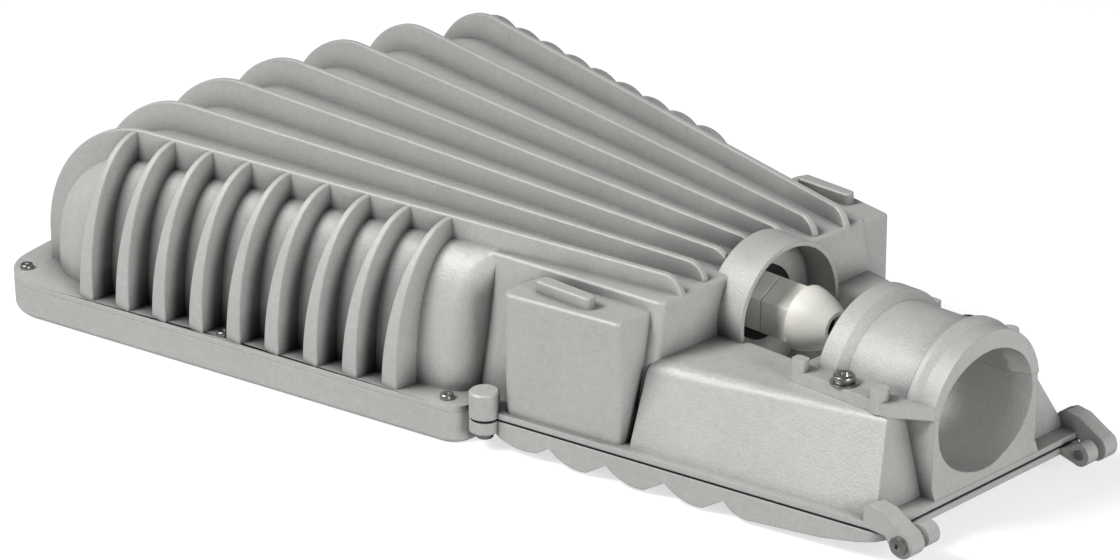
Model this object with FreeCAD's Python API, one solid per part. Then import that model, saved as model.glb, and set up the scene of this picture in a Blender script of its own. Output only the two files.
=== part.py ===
import FreeCAD, Part
import math
import os
from collections import namedtuple
from FreeCAD import Vector

Screw = namedtuple("Screw", "shank_r head_r head_height key")

# LED street light head with a side entry pole socket, in millimetres, +Z up.
# While the pieces are made, x runs from the wide end (negative) to the socket's mouth plane (0),
# and z is 0 where the housing meets the lens frame and the door.
# They are saved with the origin on the socket's axis, at the outer end of its round clamp bore.

# Pole socket
SOCKET_R = 31.0
SOCKET_AXIS_Z = 37.85
SOCKET_SIDE = 35.9
OVAL_SIDE_R = 28.5
SOCKET_LEAD = 12.0
SOCKET_LENGTH = 64.0
BORE_REAR_X = -SOCKET_LEAD - SOCKET_LENGTH
TROUGH_WALL = 4.0
# The trough behind the clamp bore is wider, and level with it at the bottom
TROUGH_R = 32.5
TROUGH_AXIS_Z = SOCKET_AXIS_Z - SOCKET_R + TROUGH_R

# Casting walls
SHELL_WALL = 4.0
NECK_WALL = 3.5
FLANGE_THICK = 3.2

# Wide flange, its half width at x is FLANGE_BASE - FLANGE_SLOPE * x
FLANGE_BASE = 85.07
FLANGE_SLOPE = 0.184
FRONT_CENTRE_X = -21.0
FLANGE_FRONT_R = 563.0
FLANGE_REAR_X = -238.0
FLANGE_FRONT_CORNER = 36.0
FLANGE_REAR_CORNER = 12.0

# Domed light body
APEX_X = 152.0
BODY_INSET = 16.0
BODY_REAR_X = -248.0
REAR_TRIM = 0.4
BODY_TOP_Z = 75.0
DOME_START_Z = 4.0
NOSE_START_Z = 13.0
BODY_FRONT_CORNER = 50.0
BODY_REAR_CORNER = 18.0

# Fan of ridges on the body
RIDGE_COUNT = 7
RIDGE_ANGLE = 3.907
RIDGE_CREST_HALF = 1.6
RIDGE_DRAFT = 0.04
RIDGE_NOSE_X = -573.0
RIDGE_PROUD = 4.0
RIDGE_NOSE_R = 70.0
RIDGE_NOSE_Z = 92.0
RIDGE_HEEL_SHARE = 1.4
RIDGE_FALL = 0.024
RIDGE_END_X = -150.0
RIDGE_END_R = 11.0
RIDGE_ROUND = 1.0

# Side fins
SIDE_FIN_COUNT = 9
SIDE_FIN_FIRST_X = -484.5
SIDE_FIN_PITCH = 25.47
SIDE_FIN_INSET = 5.0
SIDE_FIN_CENTRE_Z = 8.0
SIDE_FIN_TOP_HALF = 1.6
SIDE_FIN_FOOT_HALF = 4.8
SIDE_FIN_ROUND = 1.1

# Wiring bay behind the light body
BAY_TOP_Z = 74.4
WALL_X = -143.5
PLATEAU_HALF_REAR = 77.0
PLATEAU_HALF_FRONT = 89.0
PLATEAU_LEAN = 14.0
BULKHEAD_X = -147.0
BAY_FRONT_X = -247.0
BAY_SILL = 10.0
BOX_FRONT_X = -221.0
BOX_REAR_X = -149.5
BOX_TOP_Z = 69.0
BOX_INSET = 3.0
BOX_INNER_Y = 70.0
PAD_FRONT_X = -208.0
PAD_REAR_X = -172.0
PAD_HEIGHT = 6.5
PAD_INNER_Y = 93.5
PAD_OUTER_Y = 102.0

# Neck and its flange, whose half width at x is DOOR_BASE - DOOR_SLOPE * x
DOOR_BASE = 77.66
DOOR_SLOPE = 0.18
DOOR_FRONT_X = -230.0
DOOR_END_X = 2.6
DOOR_CORNER = 10.0
NECK_TOP_Z = 45.0
NECK_TOP_REAR = 83.4
NECK_TOP_END = 48.4
NECK_FOOT_INSET = 5.0
NECK_END_X = -5.0
NECK_SLANT = 14.0
NECK_ROUND_REAR = 9.0
NECK_ROUND_END = 4.0
COLLAR_HALF = 39.5
COLLAR_LENGTH = 30.0

# Gland sleeve and gland
GLAND_Z = 51.0
SLEEVE_R = 37.0
SLEEVE_WALL = 2.5
SLEEVE_END_X = -127.5
GLAND_THREAD_R = 12.4
GLAND_HOLE_R = 12.6
GLAND_BORE_R = 9.2
GLAND_HEX = 30.0
CABLE_R = 6.5
GLAND_WASHER = 2.0
GLAND_WASHER_R = 20.0
GLAND_HEX_LENGTH = 10.0
GLAND_NECK = 15.0
GLAND_NECK_R = 12.3
NUT_FLATS = 18.0
NUT_LENGTH = 38.0
NUT_MOUTH_R = 7.0
NUT_BULGE = 1.2
SEAL_R = 10.5
SEAL_LENGTH = 15.5
LOCKNUT_THICK = 5.0
LOCKNUT_FLATS = 32.0

# Clamp saddle
SADDLE_REAR_X = -80.0
SADDLE_TAPER_X = -19.0
SADDLE_HALF = 52.5
SADDLE_FLANGE = 6.5
# The saddle's half section: x, and the radius about the socket's axis
SADDLE_SECTION = ((-72.0, 44.0), (-60.5, 44.0), (-57.5, 39.0), (-19.0, 39.5), (-16.5, 43.0),
                  (-13.5, 43.0), (-10.0, 40.6), (0.0, 41.0))
SADDLE_PEG = (8.0, 46.5, 53.0)
CLAMP_BOLT_X = -50.5
CLAMP_BOLT_Y = 46.8
CLAMP_BOLT_R = 3.0
STUD_X = -26.0
STUD_Y = 49.0
STUD_R = 4.8
WASHER_R = 7.2
WASHER_THICK = 1.0
CLAMP_BOLT_TIP_Z = 24.0

# Seals between castings
GASKET = 1.6

# Screws
M3 = Screw(1.5, 2.8, 2.0, 2.0)
M4 = Screw(2.0, 3.8, 2.6, 2.5)
M5 = Screw(2.5, 4.5, 4.0, 4.0)
M6 = Screw(3.0, 5.5, 3.6, 5.0)
SCREW_CLEARANCE = 0.3
BLIND_DEPTH = 2.6

# Lens frame and glass
FRAME_DEPTH = 17.5
FRAME_SKIN = 3.0
FRAME_RIB_INSET = 9.0
FRAME_RIB = 4.5
GLASS_INSET = 23.0
GLASS_LIP = 8.0
GLASS_THICK = 4.0
GLASS_SEAL = 1.0
FRAME_EDGE = 2.6
FRAME_BOSS_R = 5.0
FRAME_SCREW_LENGTH = 12.0
FRAME_SCREW_PLACES = ((-544.2, 16.5), (-395.3, 6.5), (-251.8, 8.9))
CLIP_X_PLACES = (-520.0, -400.0, -285.0)
CLIP_END_Y = 62.0
CLIP_INSET = 18.25
CLIP_BOSS_R = 3.5
CLIP_REACH = (4.0, 9.0)
CLIP_WIDTH = 10.0
CLIP_THICK = 1.2

# Light engines
ENGINE_ROWS = ((-493.0, (-97.0, 0.0, 97.0)), (-404.0, (-49.0, 49.0)), (-309.0, (-49.0, 49.0)))
ENGINE_PAD_R = 22.0
ENGINE_DROP = 9.0
CUP_RIM_R = 45.0
CUP_NECK_R = 13.0
CUP_WALL = 0.8
CUP_LIP = 2.0
CUP_BELLY = (37.5, 29.0)
CHIP_SIDE = 28.0
CHIP_THICK = 1.5
HOLDER_R = 21.0
HOLDER_THICK = 6.0
HOLDER_SCREW_R = 17.5
HOLDER_WINDOW_R = 12.4
HOLDER_RECESS = 2.4
HOLDER_SCREW_BITE = 6.0
MASK_THICK = 1.2
MASK_INSET = 21.5
MASK_TAB = 11.0
MASK_TAB_HEIGHT = 5.0
MASK_TAB_X_PLACES = (-495.0, -410.0, -290.0)

# Hinge
HINGE_X = 14.3
HINGE_Z = -1.4
HINGE_PIN_R = 2.5
HINGE_RUN = 0.05
HINGE_HEAD_R = 4.8
HINGE_HEAD = 2.5
HINGE_SLOT = 2.6
LUG_R = 7.0
LUG_INNER_Y = 69.5
LUG_OUTER_Y = 79.0
DOOR_LUG_R = 6.0
DOOR_LUG_INNER_Y = 57.0
DOOR_LUG_OUTER_Y = 65.0

# Door
DOOR_WALL = 4.4
DOOR_SKIN = 3.2
DOOR_NOTCH_X = -222.9
DOOR_RIB_LENGTH = 22.0
DOOR_RIB_BULGE = 2.8
DOOR_FIRST_RIB_LENGTH = 27.0
DOOR_FIRST_RIB_Z = -12.6
DOOR_HEEL_X = -70.0
DOOR_HEEL_Z = -14.6
DOOR_TAIL_X = (-31.9, -12.3)
DOOR_EAR_Z = -8.0
DOOR_SCREW_TIP_Z = 8.6
DOOR_SCREW_ROOM = 0.5
SEAL_INSET = 0.8
SEAL_WIDTH = 3.2
SEAL_EYE_R = (4.4, 7.2)
RETAINER_R = 4.0
RETAINER_THICK = 1.0
DOOR_RIB_COUNT = 4
DOOR_RIB_PITCH = 34.2
DOOR_NOTCH_Z = -8.0
DOOR_RIB_Z = -15.4
DOOR_TAIL_Z = (-12.1, -8.8, -4.6)
EAR_X = -228.3
EAR_Y = 118.4
EAR_R = 8.0
EAR_TOP_Z = 14.0

# Electrical pieces
DRIVER_LENGTH = 60.0
DRIVER_HEIGHT = 36.0
DRIVER_ROOM = 2.4
DRIVER_X = -199.0
DRIVER_TAB = 9.0
BLOCK_SIZE = (44.0, 17.0, 18.0)
SURGE_SIZE = (40.0, 16.0, 26.0)
BLOCK_X = -180.0
BLOCK_Y = 88.5
BLOCK_EAR = 8.0
BLOCK_EAR_THICK = 4.0
BLOCK_POLES = 3
SURGE_X = -184.0
LEAD_R = 2.2
WIRE_R = 1.4
WIRE_SAG = 5.0
LEAD_CLEARANCE = 0.05
LEAD_X = -157.0
LEAD_INSET = 18.0
OUTPUT_X = -262.0
GROMMET_R = 6.0
GROMMET_ROOM = 0.2
CORD_CLIP_X = -159.8
CORD_CLIP_Y = (-44.0, -34.0)
CORD_CLIP_WALL = 2.0
CORD_CLIP_HALF = 17.0
EARTH_PLACE = (-240.0, -60.0)
GROMMET_Y = 24.0
GROMMET_Z = 20.0

# Levels and planes that follow from the sizes above
ROOF_Z = BODY_TOP_Z - SHELL_WALL
ENGINE_Z = ROOF_Z - ENGINE_DROP
BOX_ROOF_Z = BOX_TOP_Z - NECK_WALL
BAY_REAR_X = BULKHEAD_X - SHELL_WALL
GLASS_TOP_Z = -FRAME_DEPTH + FRAME_SKIN + GLASS_SEAL + GLASS_THICK
EPS = 1.0


def box(x0, x1, y0, y1, z0, z1):
    return Part.makeBox(x1 - x0, y1 - y0, z1 - z0, Vector(x0, y0, z0))


def rod(start, axis, radius, length):
    return Part.makeCylinder(radius, length, Vector(*start), Vector(*axis))


def joined(first, others):
    return first.fuse(list(others)) if others else first


def mirrored(shape):
    return shape.mirror(Vector(0, 0, 0), Vector(0, 1, 0))


def both_sides(shape):
    return [shape, mirrored(shape)]


def slab(wire, height):
    return Part.Face(wire).extrude(Vector(0, 0, height))


def polygon(points, closed=True):
    points = [Vector(*p) for p in points]
    return Part.makePolygon(points + points[:1] if closed else points)


def rounded_wire(corners, radii, z):
    """A closed outline of straight sides with a round corner at each point."""
    count = len(corners)
    radii = radii if isinstance(radii, (list, tuple)) else [radii] * count
    arcs = []
    for i, (x, y) in enumerate(corners):
        here = Vector(x, y, z)
        before = (Vector(*corners[i - 1], z) - here).normalize()
        after = (Vector(*corners[(i + 1) % count], z) - here).normalize()
        half = before.getAngle(after) / 2
        reach = radii[i] / math.tan(half)
        middle = (before + after).normalize()
        top = here + middle * (radii[i] / math.sin(half) - radii[i])
        arcs.append((here + before * reach, top, here + after * reach))
    edges = []
    for i, arc in enumerate(arcs):
        edges.append(Part.Arc(*arc).toShape())
        edges.append(Part.makeLine(arc[2], arcs[(i + 1) % count][0]))
    return Part.Wire(edges)


def fan_wire(base, slope, front_r, rear_x, front_q, rear_q, z):
    """An outline that widens away from the pole, with a wide arc across its front."""
    tilt = math.hypot(1, slope)
    inner = base - front_q * tilt
    a = 1 + slope ** 2
    b = -2 * (FRONT_CENTRE_X + inner * slope)
    c = FRONT_CENTRE_X ** 2 + inner ** 2 - (front_r - front_q) ** 2
    corner = Vector((-b - math.sqrt(b * b - 4 * a * c)) / (2 * a), 0, z)
    corner.y = inner - slope * corner.x
    centre = Vector(FRONT_CENTRE_X, 0, z)
    outward = Vector(slope, 1, 0) / tilt
    front_way = (corner - centre).normalize()
    middle = (outward + front_way).normalize()
    front = [centre + front_way * front_r, corner + middle * front_q, corner + outward * front_q]
    back = Vector(rear_x - rear_q, base - rear_q * tilt - slope * (rear_x - rear_q), z)
    along = Vector(1, 0, 0)
    rear = [back + outward * rear_q, back + (outward + along).normalize() * rear_q,
            back + along * rear_q]
    return mirrored_loop(front, rear, Vector(FRONT_CENTRE_X - front_r, 0, z))


def mirrored_loop(front, rear, tip):
    """Joins the corner arcs of one side, their mirror images and the arc through the tip."""
    def flip(points):
        return [Vector(p.x, -p.y, p.z) for p in points]
    far_front, far_rear = flip(front), flip(rear)
    edges = [Part.Arc(far_front[0], tip, front[0]).toShape(),
             Part.Arc(*front).toShape(),
             Part.makeLine(front[2], rear[0]),
             Part.Arc(*rear).toShape(),
             Part.makeLine(rear[2], far_rear[2]),
             Part.Arc(*reversed(far_rear)).toShape(),
             Part.makeLine(far_rear[0], far_front[2]),
             Part.Arc(*reversed(far_front)).toShape()]
    return Part.Wire(edges)


def flange_wire(inset, z, corner_loss=None):
    """The wide flange's outline, moved inwards by the inset."""
    loss = inset if corner_loss is None else corner_loss
    return fan_wire(FLANGE_BASE - inset * math.hypot(1, FLANGE_SLOPE), FLANGE_SLOPE,
                    FLANGE_FRONT_R - inset, FLANGE_REAR_X - inset,
                    max(FLANGE_FRONT_CORNER - loss, 3.0), max(FLANGE_REAR_CORNER - loss, 3.0), z)


def door_wire(inset, z, corner=DOOR_CORNER):
    """The neck flange's outline, moved inwards by the inset."""
    side = DOOR_BASE - inset * math.hypot(1, DOOR_SLOPE)
    front, end = DOOR_FRONT_X + inset, DOOR_END_X - inset
    corners = [(front, -(side - DOOR_SLOPE * front)), (end, -(side - DOOR_SLOPE * end)),
               (end, side - DOOR_SLOPE * end), (front, side - DOOR_SLOPE * front)]
    return rounded_wire(corners, max(corner - inset, 2.0), z)


def crest_half_width(x):
    """Half the distance between the outermost ridges at x."""
    return math.tan(math.radians(RIDGE_ANGLE * (RIDGE_COUNT // 2))) * (APEX_X - x)


def crest_z(x):
    return RIDGE_NOSE_Z - RIDGE_FALL * (x - RIDGE_NOSE_X - RIDGE_NOSE_R)


def flange_half_width(x):
    return FLANGE_BASE - FLANGE_SLOPE * x


def door_half_width(x):
    return DOOR_BASE - DOOR_SLOPE * x


def plateau_half_width(x):
    share = (x - BODY_REAR_X) / (WALL_X - BODY_REAR_X)
    return PLATEAU_HALF_FRONT + (PLATEAU_HALF_REAR - PLATEAU_HALF_FRONT) * share


def body_wire(z, wall):
    """A level outline of the domed body, at height z, with its skin moved inwards by the wall."""
    rise = min(max((z - DOME_START_Z) / (BODY_TOP_Z - wall - DOME_START_Z), 0.0), 1.0)
    fold = 1 - math.sqrt(1 - rise ** 2)
    foot_base = FLANGE_BASE - (BODY_INSET + wall) * math.hypot(1, FLANGE_SLOPE)
    top_slope = crest_half_width(0) / APEX_X
    top_base = crest_half_width(0) + RIDGE_CREST_HALF
    base = foot_base + (top_base - foot_base) * fold
    slope = FLANGE_SLOPE + (top_slope - FLANGE_SLOPE) * fold
    nose_r = BODY_TOP_Z - NOSE_START_Z - wall
    climb = min(max((z - NOSE_START_Z) / nose_r, 0.0), 1.0)
    back = nose_r * (1 - math.sqrt(1 - climb ** 2))
    front_r = FRONT_CENTRE_X - RIDGE_NOSE_X - RIDGE_PROUD - wall - back
    front_q = BODY_FRONT_CORNER * (1 - 0.7 * fold) - wall * (1 - fold)
    rear_q = BODY_REAR_CORNER * (1 - 0.4 * fold) - wall
    return fan_wire(base, slope, front_r, BODY_REAR_X - wall + REAR_TRIM, front_q, rear_q, z)


def body_solid(wall, bottom_z):
    """The domed body as a loft through level outlines, trimmed flat at its rear."""
    top = BODY_TOP_Z - wall
    levels = [bottom_z] + [DOME_START_Z + (top - DOME_START_Z) * math.sin(math.radians(a))
                           for a in (12, 35, 57, 75, 90)]
    loft = Part.makeLoft([body_wire(z, wall) for z in levels], True, wall > 0)
    wide = flange_half_width(RIDGE_NOSE_X)
    return loft.common(box(RIDGE_NOSE_X - EPS, BODY_REAR_X - wall, -wide, wide, bottom_z, top + EPS))


def prismatoid(ends, bottom_z, top_z):
    """A block between two trapezoid sections, each given as (x, half width below, half width above)."""
    (x0, low0, high0), (x1, low1, high1) = ends
    wide = max(low0, high0, low1, high1) + EPS
    block = box(x0, x1, -wide, wide, bottom_z, top_z)
    quad = [Vector(x0, low0, bottom_z), Vector(x1, low1, bottom_z), Vector(x1, high1, top_z),
            Vector(x0, high0, top_z)]
    normal = (quad[1] - quad[0]).cross(quad[3] - quad[0]).normalize()
    if abs((quad[2] - quad[0]).dot(normal)) < 0.001:
        side = Part.Face(polygon(quad))
    else:
        side = Part.makeRuledSurface(Part.makeLine(quad[0], quad[1]), Part.makeLine(quad[3], quad[2]))
    return block.cut(both_sides(side.extrude(Vector(0, wide, 0)))).Solids[0]


def rounded_where(shape, radius, wanted):
    edges = [e for e in shape.Edges if wanted(e)]
    return shape.makeFillet(radius, edges)


def nose_reach(turn):
    """How far from the apex a ridge's nose stands, which is just proud of the body's foot."""
    angle = math.radians(turn)
    apex = Vector(APEX_X, 0, DOME_START_Z)
    far = apex + Vector(-math.cos(angle), -math.sin(angle), 0) * 2 * (APEX_X - RIDGE_NOSE_X)
    inside = Part.makeLine(apex, far).common(Part.Face(body_wire(DOME_START_Z, 0)))
    return max(apex.distanceToPoint(v.Point) for v in inside.Vertexes) + RIDGE_PROUD


def ridge(nose_x):
    """One ridge: its side view drawn to a tapered section, with round crest edges."""
    lean = math.atan(RIDGE_FALL)
    normal = Vector(math.sin(lean), 0, math.cos(lean))
    halfway = Vector(math.sin(lean / 2 - math.pi / 4), 0, math.cos(lean / 2 - math.pi / 4))
    top_z = RIDGE_NOSE_Z - RIDGE_FALL * (nose_x - RIDGE_NOSE_X)
    nose = Vector(nose_x + RIDGE_NOSE_R, 0, top_z - RIDGE_NOSE_R)
    nose_start = nose - Vector(RIDGE_NOSE_R, 0, 0)
    nose_end = nose + normal * RIDGE_NOSE_R
    tail = Vector(RIDGE_END_X - RIDGE_END_R, 0, 0)
    tail.z = nose_end.z - RIDGE_FALL * (tail.x - nose_end.x) - RIDGE_END_R * math.hypot(1, RIDGE_FALL)
    tail_start = tail + normal * RIDGE_END_R
    tail_end = tail + Vector(RIDGE_END_R, 0, 0)
    diagonal = Vector(1, 0, 1).normalize()
    heel_x = nose_x + RIDGE_NOSE_R * RIDGE_HEEL_SHARE
    foot_z, low_z = BODY_TOP_Z - SHELL_WALL, FLANGE_THICK / 2
    path = [tail_end, Vector(tail_end.x, 0, foot_z), Vector(heel_x, 0, foot_z),
            Vector(heel_x, 0, low_z), Vector(nose_x, 0, low_z), nose_start]
    edges = [Part.Arc(nose_start, nose + halfway * RIDGE_NOSE_R, nose_end).toShape(),
             Part.makeLine(nose_end, tail_start),
             Part.Arc(tail_start, tail + diagonal * RIDGE_END_R, tail_end).toShape()]
    edges += [Part.makeLine(a, b) for a, b in zip(path, path[1:])]
    side = Part.Face(Part.Wire(edges))
    half = RIDGE_CREST_HALF + RIDGE_DRAFT * RIDGE_NOSE_Z
    side.translate(Vector(0, -half, 0))
    plate = side.extrude(Vector(0, 2 * half, 0))
    end_x = nose_x - EPS
    over_z = RIDGE_NOSE_Z + EPS
    top_half = RIDGE_CREST_HALF - RIDGE_DRAFT * EPS
    section = polygon([(end_x, -half, 0), (end_x, half, 0), (end_x, top_half, over_z),
                       (end_x, -top_half, over_z)])
    wedge = Part.Face(section).extrude(Vector(RIDGE_END_X - nose_x + 2 * EPS, 0, 0))
    fin = plate.common(wedge).Solids[0]

    def on_rim(edge):
        point = edge.valueAt((edge.FirstParameter + edge.LastParameter) / 2)
        flat = Vector(point.x, 0, point.z)
        along_y = edge.BoundBox.XLength + edge.BoundBox.ZLength < 0.1
        crest = abs((flat - nose_end).dot(normal)) < 0.01 and flat.x > nose_end.x
        front = abs(flat.x - nose_x) < 0.01 or abs((flat - nose).Length - RIDGE_NOSE_R) < 0.01
        back = abs((flat - tail).Length - RIDGE_END_R) < 0.01 and flat.x > tail.x
        return (crest or front or back) and not along_y
    return rounded_where(fin, RIDGE_ROUND, on_rim)


def ridge_fan():
    fins = [ridge(APEX_X - nose_reach(0))]
    for k in range(1, RIDGE_COUNT // 2 + 1):
        turn = RIDGE_ANGLE * k
        fin = ridge(APEX_X - nose_reach(turn))
        fin.rotate(Vector(APEX_X, 0, 0), Vector(0, 0, 1), turn)
        fins += both_sides(fin)
    return fins


def side_fin(x):
    """One side fin, a tapered plate with a quarter ellipse edge."""
    inner = crest_half_width(x)
    outer = flange_half_width(x) - SIDE_FIN_INSET
    top = crest_z(x) - 0.4
    low = FLANGE_THICK / 2
    rise = top - SIDE_FIN_CENTRE_Z
    reach = outer - inner
    centre = Vector(x, inner, SIDE_FIN_CENTRE_Z)
    points = [centre + Vector(0, reach * math.cos(math.radians(a)), rise * math.sin(math.radians(a)))
              for a in (0, 45, 90)]
    if rise > reach:
        ellipse = Part.Ellipse(points[2], points[0], centre)
    else:
        ellipse = Part.Ellipse(points[0], points[2], centre)
    first, last = sorted((ellipse.parameter(points[0]), ellipse.parameter(points[2])))
    if last - first > math.pi:
        first, last = last, first + 2 * math.pi
    arc = Part.ArcOfEllipse(ellipse, first, last).toShape()
    rest = [points[2], Vector(x, inner - 2, top), Vector(x, inner - 2, low), Vector(x, outer, low),
            points[0]]
    edges = [arc] + [Part.makeLine(a, b) for a, b in zip(rest, rest[1:])]
    face = Part.Face(Part.Wire(Part.__sortEdges__(edges)))
    wide = SIDE_FIN_FOOT_HALF
    face.translate(Vector(-wide, 0, 0))
    plate = face.extrude(Vector(2 * wide, 0, 0))
    section = polygon([(x - wide, inner - 5, low), (x + wide, inner - 5, low),
                       (x + SIDE_FIN_TOP_HALF, inner - 5, top + 1),
                       (x - SIDE_FIN_TOP_HALF, inner - 5, top + 1)])
    wedge = Part.Face(section).extrude(Vector(0, reach + 20, 0))
    fin = plate.common(wedge).removeSplitter().Solids[0]

    def rounded_edge(e):
        middle = e.valueAt((e.FirstParameter + e.LastParameter) / 2)
        return e.BoundBox.YLength > 5 and e.BoundBox.ZLength > 5 and middle.y > inner
    return rounded_where(fin, SIDE_FIN_ROUND, rounded_edge)


def side_fins():
    fins = []
    for i in range(SIDE_FIN_COUNT):
        fins += both_sides(side_fin(SIDE_FIN_FIRST_X + SIDE_FIN_PITCH * i))
    return fins


def bay_block():
    """The plateau over the wiring bay, with its rounded corners towards the pole."""
    front_x = BODY_REAR_X - 20
    lean = PLATEAU_LEAN
    ends = [(x, plateau_half_width(x) + lean, plateau_half_width(x)) for x in (front_x, WALL_X)]
    block = prismatoid(ends, 0.0, BAY_TOP_Z)

    def upright(e):
        return e.BoundBox.XMin > WALL_X - 1 and e.BoundBox.ZLength > 20

    def top_edge(e):
        return e.BoundBox.ZMin > BAY_TOP_Z - 1 and e.BoundBox.XMax > front_x + 1
    block = rounded_where(block, 5.0, upright)
    return rounded_where(block, 2.0, top_edge)


def side_box():
    """The box on the +Y side of the bay."""
    def outer(x):
        return door_half_width(x) - BOX_INSET
    corners = [(BOX_FRONT_X, BOX_INNER_Y), (BOX_REAR_X, BOX_INNER_Y),
               (BOX_REAR_X, outer(BOX_REAR_X)), (BOX_FRONT_X, outer(BOX_FRONT_X))]
    block = slab(rounded_wire(corners, [2.0, 2.0, 3.0, 6.0], 0.0), BOX_TOP_Z)
    block = rounded_where(block, 2.0, lambda e: e.BoundBox.ZMin > BOX_TOP_Z - 0.1)
    corners = [(PAD_FRONT_X, PAD_INNER_Y), (PAD_REAR_X, PAD_INNER_Y),
               (PAD_REAR_X, PAD_OUTER_Y - 1.5), (PAD_FRONT_X, PAD_OUTER_Y)]
    pad = slab(rounded_wire(corners, 2.5, BOX_TOP_Z - 1), PAD_HEIGHT + 1)
    pad = rounded_where(pad, 1.2, lambda e: e.BoundBox.ZMin > BOX_TOP_Z + PAD_HEIGHT - 0.1)
    return block.fuse(pad)


def neck_foot(x):
    return door_half_width(x) - NECK_FOOT_INSET


def neck_block():
    """The neck from the wall to the mouth, with its end cut on the slant beside the collar."""
    ends = [(WALL_X - 2, neck_foot(WALL_X - 2), NECK_TOP_REAR + 0.5),
            (NECK_END_X, neck_foot(NECK_END_X), NECK_TOP_END)]
    block = prismatoid(ends, 0.0, NECK_TOP_Z)

    for side in (-1, 1):
        edge = [e for e in block.Edges if e.BoundBox.ZMin > NECK_TOP_Z - 0.1
                and e.BoundBox.XLength > 50 and e.CenterOfMass.y * side > 0][0]
        radii = [NECK_ROUND_REAR, NECK_ROUND_END]
        if edge.valueAt(edge.FirstParameter).x > edge.valueAt(edge.LastParameter).x:
            radii.reverse()
        block = block.makeFillet(*radii, [edge])
    slant = polygon([(NECK_END_X - NECK_SLANT, 0, NECK_TOP_Z + 1), (NECK_END_X - 2, 0, FLANGE_THICK),
                     (20, 0, FLANGE_THICK), (20, 0, NECK_TOP_Z + 1)])
    wedge = Part.Face(slant).extrude(Vector(0, door_half_width(NECK_END_X), 0))
    block = block.cut(both_sides(wedge))
    collar = box(-COLLAR_LENGTH, 0, -COLLAR_HALF, COLLAR_HALF, 0, NECK_TOP_Z)
    toe = polygon([(-3, 0, FLANGE_THICK / 2), (DOOR_END_X - 0.2, 0, FLANGE_THICK / 2),
                   (DOOR_END_X - 0.2, 0, FLANGE_THICK), (0, 0, 9), (-3, 0, 9)])
    toe = Part.Face(toe).extrude(Vector(0, 2 * COLLAR_HALF, 0))
    toe.translate(Vector(0, -COLLAR_HALF, 0))
    return block.fuse([collar, toe])


def collar_scoop():
    """The hollow between the neck's slanted end and the +Y side of the collar."""
    wires = [Part.Wire(Part.makeCircle(17.0, Vector(-2, COLLAR_HALF + 17.0, NECK_TOP_Z + 2))),
             Part.Wire(Part.makeCircle(4.0, Vector(-2, COLLAR_HALF + 4.0, FLANGE_THICK)))]
    return Part.makeLoft(wires, True, True)


def four_arcs(x, side, top, corner):
    """A closed outline about the socket's axis, through its side, corner and top points."""
    centre = Vector(x, 0, SOCKET_AXIS_Z)

    def at(y, z):
        return centre + Vector(0, y, z)
    y, z = corner
    runs = [(at(y, -z), at(side, 0), at(y, z)), (at(y, z), at(0, top), at(-y, z)),
            (at(-y, z), at(-side, 0), at(-y, -z)), (at(-y, -z), at(0, -top), at(y, -z))]
    return Part.Wire([Part.Arc(*run).toShape() for run in runs])


def oval_corner(grow):
    """Where the oval's side arc meets its top arc."""
    shift = SOCKET_SIDE - OVAL_SIDE_R
    top_r = (shift ** 2 + SOCKET_R ** 2 - OVAL_SIDE_R ** 2) / (2 * (SOCKET_R - OVAL_SIDE_R))
    way = Vector(shift, top_r - SOCKET_R, 0).normalize()
    reach = OVAL_SIDE_R + grow
    return shift + way.x * reach, way.y * reach


def oval_wire(x, grow):
    """The socket's oval section at x, made larger all round by grow."""
    return four_arcs(x, SOCKET_SIDE + grow, SOCKET_R + grow, oval_corner(grow))


def oval_bar(x0, x1, grow):
    return Part.Face(oval_wire(x0, grow)).extrude(Vector(x1 - x0, 0, 0))


def round_wire(x):
    """The round bore's section, divided as the oval is."""
    y, z = oval_corner(0)
    share = SOCKET_R / math.hypot(y, z)
    return four_arcs(x, SOCKET_R, SOCKET_R, (y * share, z * share))


def socket_space():
    """The room for the pole: a round clamp bore with an oval lead-in at its mouth."""
    lead = Part.makeLoft([round_wire(-SOCKET_LEAD), oval_wire(0, 0)], True, True)
    mouth = oval_bar(0, 10, 0)
    bore = rod((BORE_REAR_X, 0, SOCKET_AXIS_Z), (1, 0, 0), SOCKET_R, SOCKET_LENGTH)
    return bore.fuse([lead, mouth])


def trough_space():
    """The open run from the gland's recess to the clamp bore."""
    run = rod((BULKHEAD_X, 0, TROUGH_AXIS_Z), (1, 0, 0), TROUGH_R, BORE_REAR_X - BULKHEAD_X)
    above = box(SLEEVE_END_X, SADDLE_REAR_X - EPS, -TROUGH_R, TROUGH_R, TROUGH_AXIS_Z,
                BODY_TOP_Z + 20)
    recess = rod((BULKHEAD_X, 0, GLAND_Z), (1, 0, 0), SLEEVE_R - SLEEVE_WALL, SLEEVE_END_X - BULKHEAD_X)
    return run.fuse([above, recess])


def hinge_lug():
    """The housing's hinge lug on the +Y side, an arm that ends in an eye."""
    eye = rod((HINGE_X, LUG_INNER_Y, HINGE_Z), (0, 1, 0), LUG_R, LUG_OUTER_Y - LUG_INNER_Y)
    arm = polygon([(-9, LUG_INNER_Y, 0.2), (-9, LUG_INNER_Y, 10.5), (-4, LUG_INNER_Y, 13),
                   (4, LUG_INNER_Y, 12), (HINGE_X + 4.5, LUG_INNER_Y, HINGE_Z + 5.4),
                   (HINGE_X, LUG_INNER_Y, HINGE_Z), (HINGE_X - 6.2, LUG_INNER_Y, HINGE_Z - 3.2),
                   (4.5, LUG_INNER_Y, 0.2)])
    arm = Part.Face(arm).extrude(Vector(0, LUG_OUTER_Y - LUG_INNER_Y, 0))
    return eye.fuse(arm)


def frame_screw_places():
    """Each screw through the wide flange, as x, y on both sides."""
    places = []
    for x, inset in FRAME_SCREW_PLACES:
        y = flange_half_width(x) - inset
        places += [(x, y), (x, -y)]
    return places


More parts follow.
